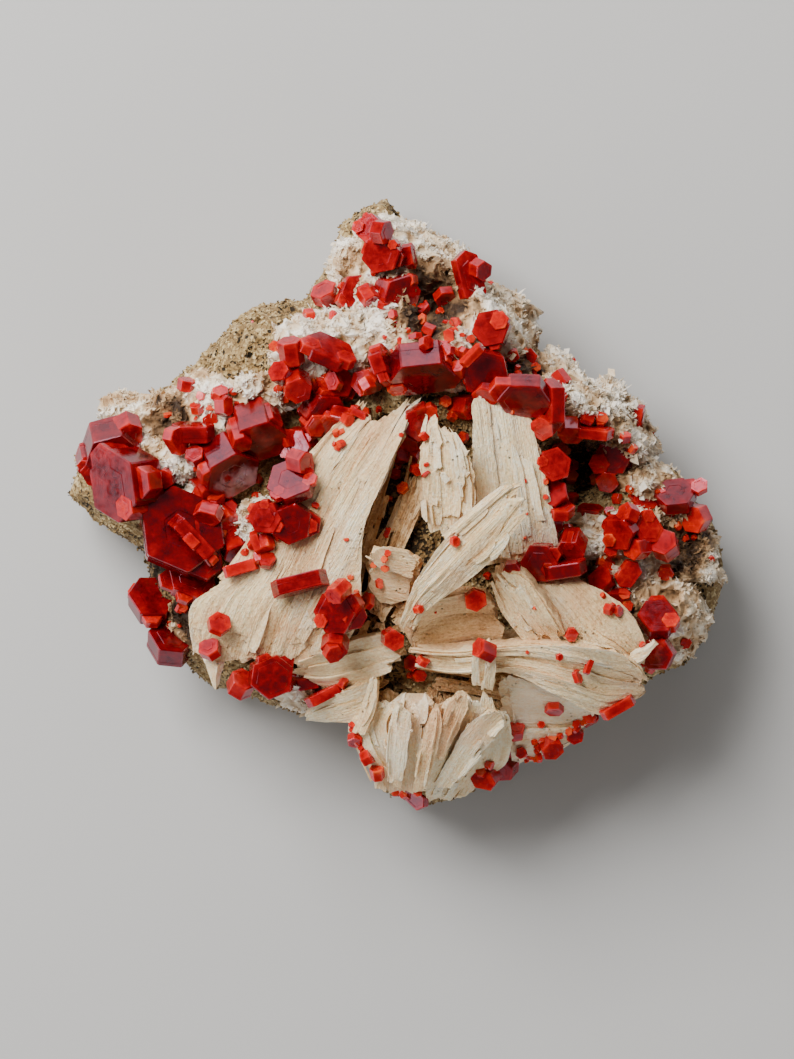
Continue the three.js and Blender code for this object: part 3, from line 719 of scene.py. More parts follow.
def picked(rings, count, weight):
    """Random places on a grid of rings, as points and facings; weight says how likely each one is."""
    weight = (weight / weight.sum()).ravel()
    chosen = chance.choice(weight.size, count, p=weight)
    nudge = chance.normal(0, 0.1, (count, 3))
    return rings.reshape(-1, 3)[chosen] + nudge, facing_of(rings).reshape(-1, 3)[chosen], chosen


def random_turns(count):
    """Rotation matrices that point every way, from the QR split of random matrices."""
    turns, _ = np.linalg.qr(chance.normal(size=(count, 3, 3)))
    turns[:, :, 0] *= np.sign(np.linalg.det(turns))[:, None]
    return turns


def nuggets(places, radii, turns, around):
    """Small closed lumps: two uneven rings with flat ends, stretched by their radii and turned."""
    angle = np.linspace(0, 2 * np.pi, around, endpoint=False)
    ring = stacked(np.cos(angle), np.sin(angle), 0)
    uneven = chance.uniform(0.75, 1.25, (len(places), around, 1))
    shape = ring * uneven * radii[:, None, :]
    rings = np.stack([shape, shape], axis=1)
    rings[:, 0, :, 2] -= 0.3 * radii[:, 2, None]
    rings[:, 1, :, 2] += 0.3 * radii[:, 2, None]
    return np.einsum("nij,nrkj->nrki", turns, rings) + places[:, None, None]


spread = np.hypot(matrix_points[..., 0], matrix_points[..., 1])
places, _, chosen = picked(matrix_points, GRAINS, spread * (matrix_points[..., 2] > 0.5))
radii = chance.uniform(0.1, 0.24, (GRAINS, 1)) * chance.uniform(0.7, 1.2, (GRAINS, 3))
grains = nuggets(places, radii, random_turns(GRAINS), GRAIN_AROUND)
# Each grain takes the rock's painted shade under it, plus a random tone of its own.
shade = matrix_painted_shade.ravel()[chosen] + chance.uniform(-0.3, 0.3, GRAINS)
shade = np.repeat(shade, 2 * GRAIN_AROUND).reshape(-1, 2, GRAIN_AROUND)
left = places[:, 0] < 0
for side, own in (("left", left), ("right", ~left)):
    grain_mesh = stacks_mesh("sand_" + side, {"rings": grains[own], "hollow": shade[own]})
    sand = add_piece("sandstone_grains_" + side, grain_mesh, sandstone, "sandstone")
    print("sand on the", side, "half:", triangles(sand), "triangles")

# %% [markdown]
# ## Barite crust
#
# Crust covers the rock like old snow: a lumpy blanket, with thousands of tiny plates standing up out
# of it. The blanket is again a grid of rings, round each patch's own middle, and its lumps are ridged
# noise, whose sharp crests look like coral. The plates are thin lozenges, scattered on the blanket
# most thickly towards its rim, and each one stands out of it on end.

# %% Crust patches: each one's rise, how white it is, and how many plates stand on it
CRUSTS = {
    "crust_apex_ridge": (2.6, 0.74, 2600), "crust_right_ridge": (2.8, 0.7, 2200),
    "crust_right_lobe": (2.2, 0.62, 2000), "crust_upper_left": (2.6, 0.7, 900),
    "crust_left": (2.2, 0.66, 1200),
}
PATCHES = [
    (-14.6, 10.8, 3.4, 2.3, 1.6), (-20.8, -2.2, 2.4, 3.6, 0.8), (-14.6, -2.4, 2.2, 2.6, 1.4),
    (19.4, -3.6, 3, 2.4, 1.4), (-8.6, -20.4, 4.2, 1.7, 1.2), (-22.8, -13.4, 1.8, 2.6, 0.8),
    (11.6, 12.6, 3.6, 2.2, 1.2), (-29, 9.6, 2.4, 2, 1.2), (17.6, 8.4, 2, 2, 1),
    (-5.2, 24.6, 1.8, 3, 1), (26.6, 2.2, 3, 1.8, 1.2),
]  # middle x, y, half-widths and rise of the small ones
CRUST_BED = 1.2  # mm from the rock to the underside of the crust
CRUST_AROUND, CRUST_TOP = 264, 66  # points round each ring, and rings over the top
PATCH_AROUND, PATCH_TOP = 120, 36
PATCH_WHITE = 0.66
PATCH_PLATES = 260
PLATE_AROUND = 4  # a plate is a lozenge
LUMP_HEIGHT = 3.6  # mm that the crust moves for a full swing of its noise
RIDGE_MEAN = 0.66  # mean of ridged noise, where the crust stays level


def outer_corners(corners, centre):
    """The corners of the patch's widest ring: no other corner near that angle is farther out."""
    away = corners[:, :2] - centre
    angle = np.arctan2(away[:, 1], away[:, 0])
    distance = np.hypot(away[:, 0], away[:, 1])
    gap = np.abs(np.angle(np.exp(1j * (angle[:, None] - angle))))
    return corners[distance >= np.where(gap < 0.2, distance, 0).max(axis=1) * 0.93]


def crust_rings(centre, reach_to, rise, white, around=CRUST_AROUND, steps=CRUST_TOP):
    """One patch of crust: a flat underside, a ragged rim, and a swollen top with coral-like lumps.

    The top is at front_height + bed + rise * profile(share), where share runs from 1 at the rim to 0
    in the middle; ridged noise then moves it by a millimetre or so.
    """
    theta = np.linspace(-np.pi, np.pi, around, endpoint=False)
    circle = stacked(np.cos(theta), np.sin(theta), centre[0])
    reach = reach_to(theta) * (0.84 + 0.22 * ridged(circle * 7, 5, 50))
    under = np.array([0.3, 0.7, 0.97])
    top = np.linspace(1, 0.03, steps) ** 0.8
    share = np.concatenate([under, top])[:, None]
    x = centre[0] + share * reach * np.cos(theta)
    y = centre[1] + share * reach * np.sin(theta)
    profile = np.interp(top, [0, 0.34, 0.66, 0.9, 1], [1, 1, 0.85, 0.4, -0.35])
    raised = np.concatenate([-1 + 0 * under, profile * rise])[:, None]
    bed = CRUST_BED * min(rise / 2, 1)
    z = front_height(x, y) + bed + raised
    z[0] -= 0.3
    points = stacked(x, y, z)
    coarse = ridged(points / 2.8, 5, 60) - RIDGE_MEAN
    fine = ridged(points / 1.2, 4, 65) - RIDGE_MEAN
    lumps = 0.62 * coarse + 0.38 * fine
    swell = np.concatenate([0 * under, np.interp(top, [0.9, 1], [1, 0.5])])[:, None]
    points[..., 2] += swell * LUMP_HEIGHT * lumps
    sideways = stacked(noise(points / 0.8, 70), noise(points / 0.8, 71))
    points[..., :2] += swell[..., None] * 0.42 * sideways
    # Painted shade: the crust darkens in the dark cavities of MATRIX_SHADE. It is also lighter on its crests
    # and darker in its dips.
    painted_cavity_shade = 2.2 * bells(points[..., 0], points[..., 1], MATRIX_SHADE).sum(-1)
    tone = white + 1.7 * lumps + 0.2 * noise(points / 5, 72) - painted_cavity_shade
    return points, np.clip(tone, 0, 1), lumps * swell


def plates(rings, tone, lumps, count):
    """Tiny lozenge plates that stand on the crests of a grid of rings, leaning this way and that."""
    likely = np.clip(lumps + 0.12, 0.02, 1) * np.linspace(1.2, 0.1, len(rings))[:, None]
    likely[:3] = 0
    places, facing, chosen = picked(rings, count, likely)
    size = chance.gamma(4, 0.045, (count, 1)) + 0.1
    radii = size * chance.uniform((0.8, 0.4, 0.1), (1.3, 0.8, 0.24), (count, 3))
    turns = random_turns(count)
    standing = unit(facing * 0.8 + chance.normal(0, 0.6, (count, 3)))
    across = unit(np.cross(standing, turns[:, :, 0]))
    turns = np.stack([standing, across, np.cross(standing, across)], -1)
    rings = nuggets(places + 0.3 * size * standing, radii, turns, PLATE_AROUND)
    shade = tone.ravel()[chosen] + chance.normal(0.05, 0.1, count)
    shade = np.clip(np.repeat(shade, 2 * PLATE_AROUND), 0, 1)
    return {"rings": rings, "tone": shade.reshape(-1, 2, PLATE_AROUND)}


for node, (rise, white, count) in CRUSTS.items():
    corners = corners_of(frame["nodes"][node]).astype(float) / MM
    centre = corners[:, :2].mean(0)
    reach_to = reach_by_angle(outer_corners(corners, centre), centre)
    rings, tone, lumps = crust_rings(centre, reach_to, rise, white)
    mesh = stacks_mesh(node + "_surface", {"rings": rings[None], "tone": tone[None]})
    piece = add_piece("snow_" + node, mesh, barite_crust, "barite_crust", node, smooth=True)
    mesh = stacks_mesh(node + "_plates", plates(rings, tone, lumps, count))
    stand = add_piece("plates_" + node, mesh, barite_crust, "barite_crust")
    print(piece.name, triangles(piece), "triangles, and", triangles(stand), "on its plates")



def ellipse_reach(wide, high):
    """A function from angle to distance: an ellipse, a little larger than its half-widths."""
    return lambda theta: 1.15 / np.hypot(np.cos(theta) / wide, np.sin(theta) / high)


patches, standing = [], []
for x, y, wide, high, rise in PATCHES:
    middle = slide[:2] + (x, y)
    outline = ellipse_reach(wide, high)
    rings, tone, lumps = crust_rings(middle, outline, rise, PATCH_WHITE, PATCH_AROUND, PATCH_TOP)
    patches.append({"rings": rings[None], "tone": tone[None]})
    standing.append(plates(rings, tone, lumps, PATCH_PLATES))
mesh = stacks_mesh("patches", *patches)
piece = add_piece("snow_patches", mesh, barite_crust, "barite_crust", smooth=True)
stand = add_piece("plates_on_patches", stacks_mesh("patch_plates", *standing), barite_crust, "barite_crust")
print(len(PATCHES), "small patches:", triangles(piece), "and", triangles(stand), "triangles")

# %% [markdown]
# ## Barite blades
#
# A fan of barite is a deck of sheets that have grown side by side and slipped a little. A single
# bumpy slab would have the right outline but none of the shadows, so each fan here is a core slab
# with leaves laid over it. A leaf is a thin flat section carried along the fan: it has its own
# place across, start and end, roll about its length, and a tapering, ragged tip. The outline of the
# fan comes from its stations: a left and a right point, one pair after another from root to tip.

# %% Stations of every fan, from root to tip: left x, y, z and right x, y, z
BLADES = {
    "blade_crossing": [(0.2, -13, 24, 1.8, -13.2, 24), (1.2, -9.8, 26, 3.3, -11, 25.5),
                       (2.6, -7, 27.5, 6.5, -8.7, 27), (5.6, -3.2, 28.5, 9.6, -6.1, 28),
                       (10.8, 1.2, 30, 12.3, -2.8, 29.4), (12.8, 2, 30.4, 13.2, -0.6, 30)],
    "blade_centre_pointed": [(3.3, -3.6, 24, 7.3, -3.4, 25), (2.7, 0, 25, 8, 0, 26),
                             (2.5, 4, 26, 7.7, 3, 27), (2.9, 7, 26, 6.9, 6.2, 27),
                             (3.5, 10.2, 26, 5.1, 9.4, 26)],
    "blade_frosted_column": [(7.7, -19.6, 22, 10, -19.8, 22), (7.8, -17, 24.4, 10.2, -17.2, 24.4),
                             (8.2, -15, 25.4, 9.8, -15, 25.4)],
    "blade_right_broad": [(9, -7.2, 22, 16.9, -5.4, 20), (8.2, -2, 23, 16.4, -1.6, 21.5),
                          (8, 3, 24, 15.4, 3, 22.5), (7.8, 8, 24, 14.2, 7.4, 22.5),
                          (7.7, 12, 22.5, 13.2, 11.2, 21.5)],
    "fan_left_curtain": [(-21.4, -16.5, 18.5, -8.8, -17.2, 20.5), (-21.6, -11, 20.5, -5.6, -12.6, 23),
                         (-17.8, -8, 21.3, -4.7, -7.6, 24), (-14.2, -2.8, 22.3, -3.6, -2.6, 24.5),
                         (-11, 2.4, 23, -1.8, 1.9, 24.5), (-7.3, 6.8, 23, 0.2, 6.6, 23.8),
                         (-4.2, 10.2, 22, 2.6, 11.6, 21)],
    "blade_right_striated": [(11.2, -6.9, 26, 9.5, -7.8, 25), (13.7, -8.4, 26, 10.5, -10.6, 23.5),
                             (16.2, -12, 25, 12.3, -13.3, 22.5), (18.4, -15.2, 23, 14.6, -15.7, 21.5)],
    "fan_right_smooth": [(18.6, -7.5, 21, 13.8, -8.6, 23), (21.6, -9.3, 22, 15.5, -11.5, 23.2),
                         (24.1, -12, 22, 17.9, -14.7, 23), (25.4, -14.8, 21.5, 21.2, -15.6, 23),
                         (25.9, -17, 20, 24.4, -17.4, 21)],
    "blade_centre_smooth": [(1.5, -12.3, 24, 1.3, -15.5, 21.5), (3.8, -10.1, 24.5, 4.2, -15.4, 19.5),
                            (7.2, -9.2, 24.5, 8.2, -14.9, 19), (10.2, -9.8, 24, 11.8, -14.3, 20)],
    "fan_lower_right": [(1, -15.3, 22, 1.7, -17.2, 21), (6, -15.5, 22.5, 6, -18, 21),
                        (12, -14.8, 23.5, 11.5, -17.8, 22), (18, -14.9, 25, 16.6, -19.8, 22),
                        (22.5, -15.6, 24, 21, -21.8, 20), (25.2, -17, 23, 24.2, -20.8, 19.5),
                        (26.1, -18.4, 22, 26, -19.6, 20)],
    "blade_left_small": [(2, -9.7, 21, 2.4, -6.4, 26), (0, -9.9, 20, 0.8, -5.4, 26),
                         (-2.2, -9.2, 20, -1.3, -4.9, 26), (-3.2, -6.4, 23, -3, -5.4, 25)],
    "blade_inner_shadow": [(-1.6, -4.9, 19, 2.9, -4.7, 17), (-0.7, -2, 19.5, 3.6, -2.5, 18),
                           (0.5, 1, 20, 3.8, 0, 19), (1.6, 3.4, 20, 3.2, 3.4, 19.5)],
    "fan_lower_left": [(-11, -16.9, 20, -10.8, -18.6, 17), (-8, -15.9, 20.5, -7, -19.3, 17.5),
                       (-4.5, -14.5, 21, -3.6, -18.8, 18.5), (-1.2, -13.9, 21.5, -1, -18, 20),
                       (0.7, -14.5, 22, 0.8, -17.3, 21)],
    "blade_pointed_left": [(-2.4, -22.2, 18, -2, -18.3, 20), (-4.6, -23, 16.5, -4.8, -19.5, 19),
                           (-7.4, -23.1, 15.5, -7.7, -20.7, 17.5), (-10, -22.7, 15, -9.9, -22.3, 15.5)],
    "fan_bottom_left": [(-1.7, -31, 13, 2.6, -31.2, 14), (-2, -28, 15, 3, -28, 17),
                        (-3.9, -26, 16, 3.6, -25, 20), (-5, -23.2, 17, 4.1, -22, 22),
                        (-3, -20.2, 19.5, 3.8, -19.2, 22.5)],
    "fan_bottom_right": [(2.7, -31.6, 13, 6.6, -31.5, 12), (3, -28.5, 17, 8.8, -29, 14),
                         (3.8, -25, 20, 11.6, -26.8, 16.5), (4.2, -21.6, 22, 12, -23, 19),
                         (6, -20.1, 22, 10.4, -19.7, 21)],
    "fan_white_corner": [(10.2, -18, 20, 12, -27.8, 13), (14, -18.8, 20, 14.8, -26.8, 13.2),
                         (18, -20.2, 19, 17.6, -26, 13.4), (21.2, -22, 17, 20.8, -23.4, 14.4)],
}

# %% A fan's surface: its two edges, and which way is across, along and to the front


def smooth_curve(points, share):
    """Catmull-Rom through the points, at each share of the way along from 0 to 1."""
    ends = [2 * points[0] - points[1], 2 * points[-1] - points[-2]]
    padded = np.concatenate([ends[:1], points, ends[1:]])
    place = np.clip(share, 0, 1) * (len(points) - 1)
    first = np.minimum(place.astype(int), len(points) - 2)
    t = (place - first)[..., None]
    a, b, c, d = (padded[first + k] for k in range(4))
    return 0.5 * (2 * b + (c - a) * t + (2 * a - 5 * b + 4 * c - d) * t**2 + (3 * b - a - 3 * c + d) * t**3)


def fan_frame(stations, share):
    """Middle, across, along and front directions, width and length run so far, at each share."""
    table = np.array(stations, float) + np.tile(slide, 2)
    left, right = smooth_curve(table[:, :3], share), smooth_curve(table[:, 3:], share)
    step = 0.01
    before, after = np.clip(share - step, 0, 1), np.clip(share + step, 0, 1)
    edges = table[:, :3], table[:, 3:]
    run = sum(smooth_curve(edge, after) - smooth_curve(edge, before) for edge in edges)
    across = unit(right - left)
    front = unit(np.cross(across, run))
    along = np.cross(front, across)
    middle = (left + right) / 2
    width = np.linalg.norm(right - left, axis=-1)
    spine = (table[:, :3] + table[:, 3:]) / 2
    length = np.linalg.norm(np.diff(spine, axis=0), axis=1).sum()
    return middle, across, along, front, width, length


print("the crossing blade is", round(fan_frame(BLADES["blade_crossing"], np.array(0.5))[-1], 1), "mm long")

# %% Leaves: where each one lies in its fan


def deal_broad(count, roll, ragged, tone):
    """Broad sheets, side by side and overlapping: columns are place, width, start, end, roll, lift,
    thickness, taper, raggedness and tone. The roll's sign says which edge of a sheet is on top."""
    place = (np.arange(count) + 0.5) / count + chance.normal(0, 0.05, count)
    place = np.clip(place, 0.12, 0.88)
    width = np.minimum(chance.uniform(1.2, 1.8, count) / count, 2 * np.minimum(place, 1 - place))
    start = chance.uniform(0, 0.1, count)
    end = 1 - 0.22 * ragged * chance.uniform(0, 1, count) ** 1.5
    rolls = np.radians(roll + chance.normal(0, 3, count))
    lift = chance.uniform(-0.05, 0.2, count)
    thick = chance.uniform(0.3, 0.55, count)
    taper = chance.uniform(0.02, 0.1, count)
    tones = tone + chance.normal(0, 0.05, count)
    return stacked(place, width, start, end, rolls, lift, thick, taper, ragged, tones)


def deal_narrow(count, roll, ragged, tone):
    """Narrow sheets and splinters, higher than the broad ones and most common near the edges."""
    place = 0.5 + 0.5 * np.sign(chance.uniform(-1, 1, count)) * chance.uniform(0, 0.96, count) ** 0.7
    width = chance.uniform(0.05, 0.2, count)
    start = chance.uniform(0, 0.65, count)
    end = np.minimum(start + chance.uniform(0.15, 0.6, count), 1.0)
    rolls = np.radians(roll * 2 + chance.normal(0, 14, count))
    lift = chance.uniform(0.0, 0.3, count)
    thick = chance.uniform(0.14, 0.3, count)
    taper = chance.uniform(0.1, 0.6, count)
    tones = tone + chance.normal(0.04, 0.07, count)
    return stacked(place, width, start, end, rolls, lift, thick, taper, ragged, tones)


def core_sheet(thick, ragged, tone):
    """The slab under a fan's leaves, as one leaf as wide as the fan, a little behind them."""
    return np.array([[0.5, 0.97, 0.0, 1 - 0.11 * ragged, 0.0, -thick / 2, thick, 0.02, ragged, tone]])


print("one broad sheet:", deal_broad(1, 8, 0.2, 0.6)[0].round(2))

# %% Leaves to sections: every leaf of a fan at once
FOLD_HEIGHT = 0.35  # mm; folds run through a whole fan
STEP_HEIGHT = 0.045  # mm from one cleavage sheet to the next
STEP_SHARPNESS = 5.0  # a step takes up a fifth of the way to the next
LINE_HEIGHT = 0.04  # mm


def leaf_section(front_points, back_points):
    """Share across (-1..1) and side (+1 front, -1 back) round a leaf's flat section."""
    front = np.linspace(-1, 1, front_points)
    back = np.linspace(1, -1, back_points + 2)[1:-1]
    return np.append(front, back), np.append(np.ones(front_points), -np.ones(back_points))


def terraced(value):
    """The value in whole steps with short ramps between them, as cleaved sheets break in steps."""
    whole = np.floor(value)
    return whole + np.clip((value - whole - 0.5) * STEP_SHARPNESS + 0.5, 0, 1)


def leaf_group(stations, leaves, seed, rows, front_points, back_points, rough=1.0):
    """Leaves as a group of stacks of flat sections.

    Across a section, height = thick / 2 to the front or the back, plus folds shared by the whole fan,
    cleavage steps, and fine grooves. Along it, half-width = width / 2 * min(1, (left / taper)^0.7),
    and each column of points ends at its own length, so the tip is as ragged as a broken comb.
    """
    place, width, start, end, roll, lift, thick, taper, ragged, tone = leaves.T[:, :, None]
    run = np.linspace(0, 1, rows)
    s, facing = leaf_section(front_points, back_points)
    numbers = np.arange(len(leaves))[:, None]
    share = start + (end - start) * run
    far = np.minimum(1, ((1.0 - run) / taper + 0.003) ** 0.7)
    middle, across, along, front, fan_width, length = fan_frame(stations, share)
    edge_noise = fractal(stacked(share * length / 1.1, numbers * 7.3, 0), 3, seed)
    half = 0.5 * width * fan_width * far * (1 + 0.09 * edge_noise)
    drift = 0.3 * noise(stacked(share * 1.6, numbers * 3.7, 0), seed + 1)
    lean = 0.1 * noise(stacked(numbers * 5.1, 0, 0), seed + 9)
    offset = (place - 0.5 + lean * (share - 0.5)) * fan_width + drift * (width < 0.9)
    side = across * np.cos(roll)[..., None] + front * np.sin(roll)[..., None]
    face = front * np.cos(roll)[..., None] - across * np.sin(roll)[..., None]
    sideways = half[..., None] * s
    own = (numbers * 11.7)[..., None]
    teeth = fractal(stacked(sideways / 0.7, own, 0), 3, seed + 4)
    comb = (run**5 + 0.7 * (1 - run) ** 5 * np.sign(run - 0.5))[:, None]
    shorten = (0.25 + ragged[..., None] * 1.6) * (0.5 + 0.6 * teeth) * comb
    spread = offset[..., None] + sideways
    distance = (share * length)[..., None] - shorten
    folds = FOLD_HEIGHT * fractal(stacked(spread / 4.5, distance / 18, 0), 2, seed + 2)
    steps = terraced(2.6 * fractal(stacked(spread / 0.9, distance / 13, own), 2, seed + 5))
    lines = ridged(stacked(sideways / 0.5, distance / 12, own), 3, seed + 3) - 0.6
    visible = rough * (facing > 0) * (0.15 + 0.85 * far[..., None])
    detail = visible * (STEP_HEIGHT * steps + LINE_HEIGHT * lines)
    height = lift[..., None] + folds + thick[..., None] / 2 * facing + detail
    points = middle[:, :, None] + across[:, :, None] * offset[..., None, None]
    points = points + side[:, :, None] * sideways[..., None] + face[:, :, None] * height[..., None]
    points = points - along[:, :, None] * shorten[..., None]
    # Painted light and shade: paler towards the tip and at the thin edges, lighter on the crests of the
    # lines and steps, darker in their grooves and on the back of each leaf.
    pale = 0.12 * (1 - far[..., None]) + 0.1 * np.abs(s) ** 12 + rough * (0.1 * lines + 0.02 * steps)
    tones = tone[..., None] + pale + np.where(facing > 0, 0, -0.12)
    return {"rings": points, "tone": np.clip(tones, 0, 1), "grain": stacked(spread + own, distance)}


print("a step, terraced:", terraced(np.array([0.2, 0.45, 0.5, 0.8])))

# %% How each fan is made
# Broad sheets, narrow ones, roll, raggedness, tone, core thickness, and how rough the faces are. The low
# tone of blade_inner_shadow is painted shade.
FANS = {
    "blade_crossing": (5, 16, -6, 1.3, 0.68, 1.6, 1.1),
    "blade_centre_pointed": (3, 18, 5, 1.3, 0.72, 1.7, 0.8),
    "blade_frosted_column": (2, 3, 6, 0.3, 0.74, 2.0, 0.6),
    "blade_right_broad": (3, 10, 2, 0.6, 0.76, 2.2, 0.6),
    "fan_left_curtain": (6, 40, -4, 0.8, 0.62, 2.4, 0.9),
    "blade_right_striated": (3, 14, 6, 0.9, 0.58, 1.8, 1.1),
    "fan_right_smooth": (4, 9, 5, 0.5, 0.54, 1.8, 0.6),
    "blade_centre_smooth": (2, 3, 4, 0.4, 0.56, 1.8, 0.4),
    "fan_lower_right": (4, 20, -5, 0.9, 0.64, 2.2, 0.9),
    "blade_left_small": (2, 4, -8, 0.4, 0.64, 1.1, 0.7),
    "blade_inner_shadow": (3, 14, 8, 1.2, 0.54, 1.1, 1.0),
    "fan_lower_left": (3, 10, -6, 0.5, 0.66, 1.8, 0.7),
    "blade_pointed_left": (2, 4, 5, 0.2, 0.8, 1.3, 0.5),
    "fan_bottom_left": (5, 14, 13, 1.1, 0.82, 2.4, 0.6),
    "fan_bottom_right": (4, 12, 11, 1.0, 0.86, 2.4, 0.6),
    "fan_white_corner": (2, 8, -5, 0.5, 0.86, 2.4, 0.5),
}

for seed, (node, (broad, narrow, roll, ragged, tone, thick, rough)) in enumerate(FANS.items(), 100):
    # The core sheet, behind the leaves, is 0.06 darker in tone as painted shade.
    wide = np.concatenate([core_sheet(thick, ragged, tone - 0.06), deal_broad(broad, roll, ragged, tone)])
    thin = deal_narrow(narrow, roll, ragged, tone)
    sheets = leaf_group(BLADES[node], wide, seed, 66, 44, 8, rough)
    splinters = leaf_group(BLADES[node], thin, seed + 40, 24, 9, 3, rough)
    mesh = stacks_mesh(node + "_leaves", sheets, splinters)
    piece = add_piece("leaves_" + node, mesh, barite_blade, "barite_blade", node, smooth=True, sharp=38)
    print(piece.name, broad, "broad,", narrow, "narrow,", triangles(piece), "triangles")

# %% Spurs: single blades that stand out of a fan or at its ragged end, given by stations again
SPURS = [
    (0.6, [(-4.6, -24.5, 17.5, -3.2, -24.5, 18.5), (-3.6, -21.5, 19.5, -2.2, -21.8, 20.5),
           (-2.9, -19, 21, -1.9, -19.3, 21.6), (-2.4, -17.6, 21.5, -2, -17.7, 21.7)]),
    (0.62, [(-2.4, -30, 13, -1.4, -30, 14.5), (-3.6, -27.5, 14.2, -2.4, -27.3, 16.2),
            (-4.9, -25, 15.4, -3.4, -24.8, 17.8), (-5.3, -22.6, 16.8, -4.3, -22.4, 18.7)]),
    (0.86, [(-0.8, -29.5, 15.8, 0.6, -29.6, 16.4), (-1, -26, 18.8, 1.2, -26, 19.8),
            (-0.6, -22.5, 21.2, 1.6, -22.5, 22.4), (0.4, -20.4, 22.8, 1.2, -20.8, 23)]),
    (0.6, [(1.6, -30.4, 15.2, 3, -30.6, 15.2), (2.2, -27, 18.8, 3.8, -27.4, 19.2),
           (3, -23.5, 21.8, 4.6, -24, 22.3), (4.3, -20.2, 23.2, 4.9, -20.6, 23.4)]),
    (0.84, [(4, -29.5, 16, 5.6, -30, 15.7), (5.6, -26, 19.8, 8, -27, 18.8),
            (7.4, -22.9, 22.2, 10.2, -24.6, 20.4), (9.8, -21, 22.3, 11.8, -22.6, 20)]),
    (0.5, [(3.6, -26.6, 20, 4.8, -27, 19.6), (4.4, -23.6, 22.2, 6.2, -24.2, 21.8),
           (5.4, -20.6, 23, 7.4, -21.2, 22.6), (6.6, -19.4, 23, 7.2, -19.7, 22.9)]),
    (0.95, [(23.6, -17.6, 20.8, 24.4, -15.2, 21.2), (25.4, -16.8, 21.2, 25.6, -14.9, 21.4),
            (26.8, -14.9, 21.2, 26.9, -14.2, 21.3)]),
    (0.95, [(-20.2, -16, 18.2, -17.8, -16.2, 18.8), (-19.6, -17.6, 17.8, -18.1, -17.7, 18.4),
            (-18.9, -19.4, 17.4, -18.5, -19.4, 17.5)]),
]  # tone, then the stations

spurs = []
for seed, (tone, stations) in enumerate(SPURS, 400):
    leaves = np.concatenate([core_sheet(0.8, 0.4, tone), deal_narrow(4, 8, 0.6, tone)])
    spurs.append(leaf_group(stations, leaves, seed, 30, 17, 4, 0.7))
mesh = stacks_mesh("spur_leaves", *spurs)
piece = add_piece("spurs", mesh, barite_blade, "barite_blade", smooth=True, sharp=38)
print(len(SPURS), "spurs,", triangles(piece), "triangles")

# %% The bed of splinters under and between the fans, dark as painted shade: left x, y and right x, y, from root to tip
BEDS = [
    [(-4.5, -11, -1, -10), (-4, -5, 0.5, -5.5), (-2.5, 1, 2.6, 0), (-1, 6, 3.4, 5)],
    [(-6, -14.5, 3, -15.5), (-4.5, -11.5, 4, -12), (-2.5, -8.5, 6, -9)],
    [(6, -8, 12, -9.5), (8, -4, 15, -5.5), (9.5, 0, 16, -1)],
    [(2, -14, 2, -19), (8, -14.5, 9, -20), (14, -14, 15, -21.5), (20, -14.5, 20.5, -22)],
    [(0, -14.5, -0.5, -19), (-5, -15.5, -5, -21.5), (-10.5, -16.5, -10, -21.5)],
    [(-5, -20, 6, -19), (-4, -24, 5, -24), (-2, -29, 4, -29)],
    [(5, -19, 14, -18.5), (5, -23.5, 16, -24), (4.5, -28.5, 11, -28)],
    [(16, -8, 12, -12), (21, -11, 17, -16), (24.5, -15, 22, -18.5)],
]


def bed_stations(corners):
    """Stations that lie just above the matrix."""
    pairs = np.array(corners, float).reshape(-1, 2, 2)
    height = front_height(*np.moveaxis(pairs + slide[:2], -1, 0)) + 1.2
    return np.concatenate([pairs, height[..., None]], -1).reshape(-1, 6)


beds = []
for seed, corners in enumerate(BEDS, 300):
    # Tone 0.3: the bed is painted dark, as the shade in the gaps between the fans.
    leaves = deal_narrow(46, 0, 1.2, 0.3)
    leaves[:, 4] = np.radians(chance.normal(0, 28, len(leaves)))
    leaves[:, 1] *= 1.4
    beds.append(leaf_group(bed_stations(corners), leaves, seed, 18, 9, 3))
mesh = stacks_mesh("bed_leaves", *beds)
piece = add_piece("bed_of_splinters", mesh, barite_blade, "barite_blade", smooth=True, sharp=38)
print(piece.name, triangles(piece), "triangles")

# %% [markdown]
# ## Vanadinite
#
# A vanadinite crystal is a six-sided prism with flat ends. Real ones are never the ideal prism: the
# sides sit at unequal distances, the ends carry low steps, and the sides have ledges where growth
# paused. So each side has its own distance from the c axis, and a profile of rings takes the prism
# from one end to the other, with a small bevel at every edge to catch the light. Crystals wider than
# a few millimetres also carry smaller ones in the same orientation, as parallel growths do.

# %% Hexagonal rings from six side distances
SIDE_SHARES = np.array([0.035, 0.35, 0.65, 0.965])  # points along a side; the gap at a corner is a bevel
SIDES = np.radians(60) * np.arange(6)  # which way each side faces


def hexagon(distances, shares):
    """Points round a hexagon whose side k lies at its own distance, facing 60k degrees.

    The corner after side k is d_k n_k + (d_(k+1) - d_k cos 60) / sin 60 t_k.
    """
    normal = stacked(np.cos(SIDES), np.sin(SIDES))
    tangent = stacked(-np.sin(SIDES), np.cos(SIDES))
    following = np.roll(distances, -1, axis=-1)
    slip = (following - distances * math.cos(math.radians(60))) / math.sin(math.radians(60))
    corner = distances[..., None] * normal + slip[..., None] * tangent
    before = np.roll(corner, 1, axis=-2)
    points = before[..., None, :] + (corner - before)[..., None, :] * shares[:, None]
    return points.reshape(*distances.shape[:-1], -1, 2)


def side_distances(rows):
    """The apothem of each crystal, and how much farther out the drawn-out hexagon has each side."""
    apothem = rows[:, 2] * math.cos(math.radians(30)) / 2
    return apothem, rows[:, 8, None] * np.abs(np.sin(SIDES))


def prism_rings(distances, heights, shares):
    """Hexagons one above the other, about each crystal's own middle."""
    flat = hexagon(distances, shares)
    return stacked(flat[..., 0], flat[..., 1], heights[..., None])


def stood(rings, rows, seats):
    """The rings turned as each crystal is, and moved to its place."""
    middle = stacked(rows[:, 0], rows[:, 1], rows[:, 7] + seats)
    return rings @ turned(rows)[:, None].transpose(0, 1, 3, 2) + middle[:, None, None]


